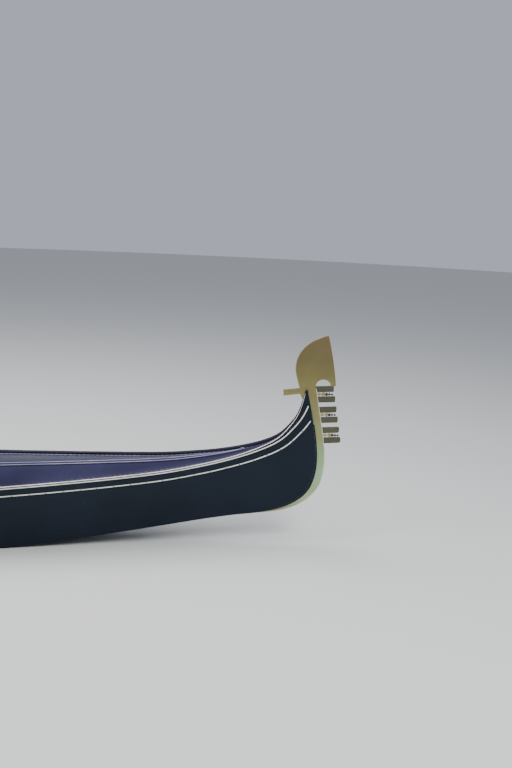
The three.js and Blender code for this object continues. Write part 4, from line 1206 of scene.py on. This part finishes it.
def cushion(name, node, axis, tufts, step=0.013, cap=0.013, margin=0.011):
    """A tufted, piped cushion in the place of a CAD block. Tufts are rows of two shares of its face,
    which looks up the axis."""
    lo, hi = (np.array(corner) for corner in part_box(node))
    inner_lo, inner_hi = lo + margin, hi - margin
    inner_lo[2] = lo[2] + CUSHION["underside"]
    obj = block_mesh(name, inner_lo, inner_hi, step)
    across = [a for a in range(3) if a != axis]
    places = []
    for shares in tufts:
        place = inner_hi.copy()
        place[across] = inner_lo[across] + (inner_hi - inner_lo)[across] * shares
        places.append(place)
    verts = coords(obj.data)
    centre, half = (inner_lo + inner_hi) / 2, (inner_hi - inner_lo) / 2
    corner = np.sort(np.abs((verts - centre) / half), axis=1)[:, 1:].prod(axis=1)
    verts += (centre - verts) * (CUSHION["corner"] * corner ** 10)[:, None]
    obj.data.vertices.foreach_set("co", verts.ravel())
    inflate(obj, cap, places)
    verts = coords(obj.data)
    on_face = np.clip(((verts[:, axis] - centre[axis]) / half[axis] - 0.2) / 0.5, 0, 1)
    pockets(verts, places, across, axis, on_face)
    verts = np.clip(verts, lo + CUSHION["clear"], hi - CUSHION["clear"])
    obj.data.vertices.foreach_set("co", verts.ravel())
    tree = BVHTree.FromObject(obj, bpy.context.evaluated_depsgraph_get())
    smooth = obj.modifiers.new("Subdivision", "SUBSURF")
    smooth.levels = smooth.render_levels = 1
    dress(obj, "velvet", smooth_angle=180)
    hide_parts(node)
    up = np.eye(3)[axis]
    hits = [tree.ray_cast(Vector(place + 0.05 * up), Vector(-up))[0] for place in places]
    mesh(f"{name}_buttons", [lathe(BUTTON, 14, axis, tuple(hit)) for hit in hits], "velvet")
    levels = (inner_lo[axis] + PIPING["low"], inner_hi[axis] - PIPING["high"])
    cords = [piping(tree, (lo, hi), (inner_lo, inner_hi), across, axis, level) for level in levels]
    mesh(f"{name}_piping", cords, "gilt", "velvet")


def tuft_grid(columns, rows, shift=True):
    """Shares of a face in a diamond pattern."""
    places = []
    for r in range(rows):
        count = columns - (r % 2 if shift else 0)
        for c in range(count):
            places.append(((r + 1) / (rows + 1), (c + 0.5 + (columns - count) / 2) / columns))
    return places


cushion("seat_pad", "seat_cushion", 2, tuft_grid(4, 3))
cushion("back_pad", "seat_back_cushion", 0, [(b, a) for a, b in tuft_grid(4, 3)], cap=0.011)
for side_name in SIDES:
    bench = f"{side_name}_bench"
    cushion(f"{bench}_pad", f"{bench}_cushion", 2, tuft_grid(2, 4, False), cap=0.009, margin=0.009)


# Brass sea horses on the rails. Rows are x, z and radius, from the middle of the foot plate's underside

HORSE_SPINE = [(-0.104, 0.118, 0.002), (-0.116, 0.104, 0.005), (-0.112, 0.078, 0.009),
               (-0.090, 0.050, 0.014), (-0.050, 0.036, 0.018), (-0.005, 0.042, 0.022),
               (0.020, 0.070, 0.021), (0.018, 0.104, 0.017), (0.014, 0.134, 0.014),
               (0.028, 0.162, 0.0125), (0.046, 0.170, 0.012)]
HORSE_HEAD = [(0.036, 0.166, 0.010), (0.054, 0.163, 0.0125), (0.070, 0.150, 0.0095), (0.084, 0.138, 0.0075),
              (0.092, 0.131, 0.004)]
HORSE_LEG = [(0.020, 0.082, 0.010), (0.046, 0.086, 0.0085), (0.062, 0.070, 0.0065), (0.058, 0.046, 0.005),
             (0.066, 0.030, 0.006), (0.078, 0.024, 0.002)]
HORSE_EAR = [(0.040, 0.172, 0.004), (0.034, 0.186, 0.0012)]
HORSE_FEET = ([(-0.060, 0.006, 0.010), (-0.055, 0.030, 0.012)], [(0, 0.006, 0.012), (-0.004, 0.034, 0.014)])
HORSE_MANE = [(0.030, 0.180), (0.012, 0.170), (0, 0.152), (-0.004, 0.130), (-0.004, 0.108), (-0.008, 0.086)]
HORSE_TAIL = (-0.106, 0.112)
HORSE_X, PLATE_HALF = -0.15, 0.09


def horse_locks():
    """Locks of the mane, leaves of the tail and fins of the back: the rows of each and its flatness."""
    for k, (u, w) in enumerate(HORSE_MANE):
        lean = 0.5 + 0.35 * k
        tip = (u - 0.020 * math.cos(lean - 0.9), w + 0.016 * math.sin(1.9 - lean))
        middle = ((u + tip[0]) / 2, (w + tip[1]) / 2)
        yield [(u + 0.008, w - 0.004, 0.0075), (*middle, 0.0055), (*tip, 0.0012)], 0.5
    u, w = HORSE_TAIL
    for k in range(5):
        angle, reach = 2.2 + 0.33 * k, 0.030 - 0.002 * k
        yield [(u, w, 0.003), (u + reach * math.cos(angle) * 0.5, w + reach * 0.5, 0.0045),
               (u + reach * math.cos(angle), w + reach * math.sin(angle - 0.6), 0.001)], 0.45
    for k in range(4):
        w = 0.052 + 0.013 * k
        yield [(-0.012, w, 0.004), (-0.034 - 0.004 * k, w + 0.012, 0.006),
               (-0.052 - 0.003 * k, w + 0.026, 0.0015)], 0.5


def sea_horse(name, node):
    lo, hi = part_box(node)
    x, y, z = HORSE_X, (lo.y + hi.y) / 2, lo.z

    def part(rows, flat, shift=0.0, n=14):
        return tube([(x + u, y + shift, z + w) for u, w, _ in rows], [r for _, _, r in rows], n, flat)

    parts = [part(HORSE_SPINE, 0.50), part(HORSE_HEAD, 0.62)]
    for shift in (-0.0062, 0.0062):
        parts += [part(HORSE_LEG, 0.55, shift, 10), part(HORSE_EAR, 0.8, shift * 0.7, 8)]
    parts += [part(rows, flat, 0, 8) for rows, flat in horse_locks()]
    low, high, edge = z + 0.004, z + 0.008, PLATE_HALF - 0.006
    foot = [(x - PLATE_HALF, z), (x + PLATE_HALF, z), (x + PLATE_HALF, low), (x + edge, high),
            (x - edge, high), (x - PLATE_HALF, low)]
    parts += [plate(foot, 0.013, 0.0015, y)] + [part(rows, 0.8) for rows in HORSE_FEET]
    verts, faces = gather(parts)
    verts[:, 1:] = np.clip(verts[:, 1:], lo[1:], hi[1:])
    piece = mesh(name, (verts, faces), "brass", smooth_angle=50)
    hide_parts(node)


for side_name in SIDES:
    sea_horse(f"{side_name}_brass_horse", f"{side_name}_sea_horse")


# Oar crutch, carved from one block, and the wedge for the rower's foot

CRUTCH_OUTLINE = [
    [(0.046, 0.002), (0.050, 0.030), (0.053, 0.066), (0.042, 0.106), (0.040, 0.138)],
    [(0.058, 0.150), (0.062, 0.166), (0.046, 0.182), (0.044, 0.208), (0.056, 0.238), (0.076, 0.258)],
    [(0.091, 0.276), (0.092, 0.298), (0.064, 0.299), (0.036, 0.292), (0.016, 0.300), (0.006, 0.324),
     (0.014, 0.348)],
    [(0.042, 0.368), (0.038, 0.398), (0.018, 0.414), (-0.014, 0.418), (-0.036, 0.398), (-0.043, 0.350),
     (-0.037, 0.300), (-0.048, 0.230), (-0.057, 0.150), (-0.050, 0.070), (-0.047, 0.030), (-0.046, 0.002)],
]
CRUTCH = {"x": -1.600, "foot": 0.092, "high": 0.42, "half": 0.033}


def oar_crutch():
    """Carved crutch: open jaw and lower notch with crisp lips, waisted across its thickness."""
    lo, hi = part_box("oar_crutch")
    x, y, z, half = CRUTCH["x"], (lo.y + hi.y) / 2, lo.z + CRUTCH["foot"], (hi.y - lo.y) / 2
    loop = np.concatenate([curve_through(run, 5) for run in CRUTCH_OUTLINE]) + [x, z]
    verts, faces = plate(loop, half, 0.0055, y, 3)
    rise = np.clip((verts[:, 2] - z) / CRUTCH["high"], 0, 1)
    jaw = np.exp(-((rise - 0.70) / 0.08) ** 2)
    slim = 1 - 0.34 * np.sin(np.pi * np.clip(rise * 1.15, 0, 1)) - 0.20 * rise + 0.22 * jaw
    verts[:, 1] = y + (verts[:, 1] - y) * slim
    left, right, low, high = x - CRUTCH["half"], x + CRUTCH["half"], lo.z, z + 0.012
    foot = plate([(left, low), (right, low), (right, high), (left, high)], half, 0.003, y)
    piece = mesh("carved_crutch", [(verts, faces), foot], "walnut", body="oar_crutch")
    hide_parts("oar_crutch")


WEDGE_RISE, BATTEN_LIFT = (0.070, 0.020), 0.002


def foot_wedge():
    """Battens across the wedge, which slopes down over the deck."""
    lo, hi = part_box("foot_wedge")
    high, low = WEDGE_RISE
    parts = []
    for share in (0.2, 0.5, 0.8):
        x = np.full(3, lo.x + (hi.x - lo.x) * share)
        path = deck_point(x, [0.30, 0.5, 0.70], BATTEN_LIFT + high + (low - high) * share)
        parts.append(bar(resample(path, 0.02)[0], half_round(0.014, 0.004), (0, 0, 1)))
    mesh("foot_wedge_battens", parts, "varnished_wood")


oar_crutch()
foot_wedge()


# Materials on the carried-over nodes, and softened edges by their width

SOFTENED = {
    0.006: ("seat_back",),
    0.004: ("seat_base", "starboard_bench", "port_bench", "crutch_block", "foot_wedge"),
    0.002: ("starboard_frames", "port_frames", "floor_frames"),
    0.0015: ("bow_locker_door", "stern_locker_door"),
    0.001: ("bow_bulkhead", "stern_bulkhead"),
}
for entry in frame["record"]["subparts"]:
    materials = NODES[entry["node"]].data.materials
    materials.clear()
    materials.append(MAT[entry["material_slot"]])
for edge_width, softened in SOFTENED.items():
    for node_name in softened:
        bevel = NODES[node_name].modifiers.new("Bevel", "BEVEL")
        bevel.width, bevel.segments, bevel.limit_method = edge_width, 2, "ANGLE"
        bevel.angle_limit = math.radians(50)


# Stage. The floor has a hole where the hull's skin meets the waterline, halfway into the planks

FLOOR_RADIUS = 40.0
LIGHTS = {   # place, aim, size, power
    "key": ((7.5, -5.0, 7.0), (4.0, 0, 0.8), 4.0, 620),
    "top": ((1.0, 1.0, 8.0), (1.0, 0, 0.4), 7.0, 700),
    "stern": ((-7.0, -4.5, 6.0), (-3.0, 0, 0.6), 4.0, 420),
}


def waterline_loop():
    s = np.linspace(0, LAST, 1301)
    s = s[(station(s, LOWER_Z) < WATERLINE) & (station(s, SHEER_Z) > WATERLINE)]
    loops = []
    for side in (-1, 1):
        v = np.zeros(len(s))
        for _ in range(30):
            v = np.clip(v + (WATERLINE - skin(side, s, v)[:, 2]) / 0.6, 0, 1)
        loops.append(skin(side, s, v, SKIN / 2))
    return np.concatenate([loops[0], loops[1][::-1]])


def stage():
    inner = waterline_loop()
    angle = np.arctan2(inner[:, 1], inner[:, 0])
    outer = FLOOR_RADIUS * stack(np.cos(angle), np.sin(angle), 0) + [0, 0, WATERLINE]
    data = bpy.data.meshes.new("floor")
    verts, faces = loft(np.stack([inner, inner + (outer - inner) * 0.02, outer]), caps=False)
    data.from_pydata(verts.tolist(), [], faces)
    floor = new_object("floor", data)
    mat = bpy.data.materials.new("pale_floor")
    mat.use_nodes = True
    bsdf = mat.node_tree.nodes["Principled BSDF"]
    bsdf.inputs["Base Color"].default_value = (0.62, 0.62, 0.60, 1)
    bsdf.inputs["Roughness"].default_value = 0.85
    floor.data.materials.append(mat)
    world = bpy.data.worlds.new("studio")
    world.use_nodes = True
    bpy.context.scene.world = world
    background = world.node_tree.nodes["Background"]
    background.inputs["Color"].default_value = (0.80, 0.86, 1.0, 1)
    background.inputs["Strength"].default_value = 0.55
    for name, (place, aim, size, power) in LIGHTS.items():
        light = bpy.data.lights.new(name, "AREA")
        light.shape, light.size, light.energy = "SQUARE", size, power
        lamp = new_object(name, light)
        lamp.location = place
        lamp.rotation_euler = (Vector(aim) - Vector(place)).to_track_quat("-Z", "Y").to_euler()


def camera():
    a, e, r = (math.radians(CAMERA[k]) for k in ("azimuth", "elevation", "roll"))
    back = Vector((math.sin(a) * math.cos(e), -math.cos(a) * math.cos(e), math.sin(e)))
    right = Vector((math.cos(a), math.sin(a), 0))
    up = back.cross(right)
    data = bpy.data.cameras.new("camera")
    data.sensor_fit = "AUTO"
    data.sensor_width = SENSOR_MM
    data.lens = FOCAL_PX * SENSOR_MM / FRAME_PX
    obj = new_object("camera", data)
    turned = (math.cos(r) * right + math.sin(r) * up, -math.sin(r) * right + math.cos(r) * up, back)
    obj.matrix_world = Matrix.Translation(CAMERA["pos"]) @ Matrix(turned).transposed().to_4x4()
    bpy.context.scene.camera = obj


stage()
camera()
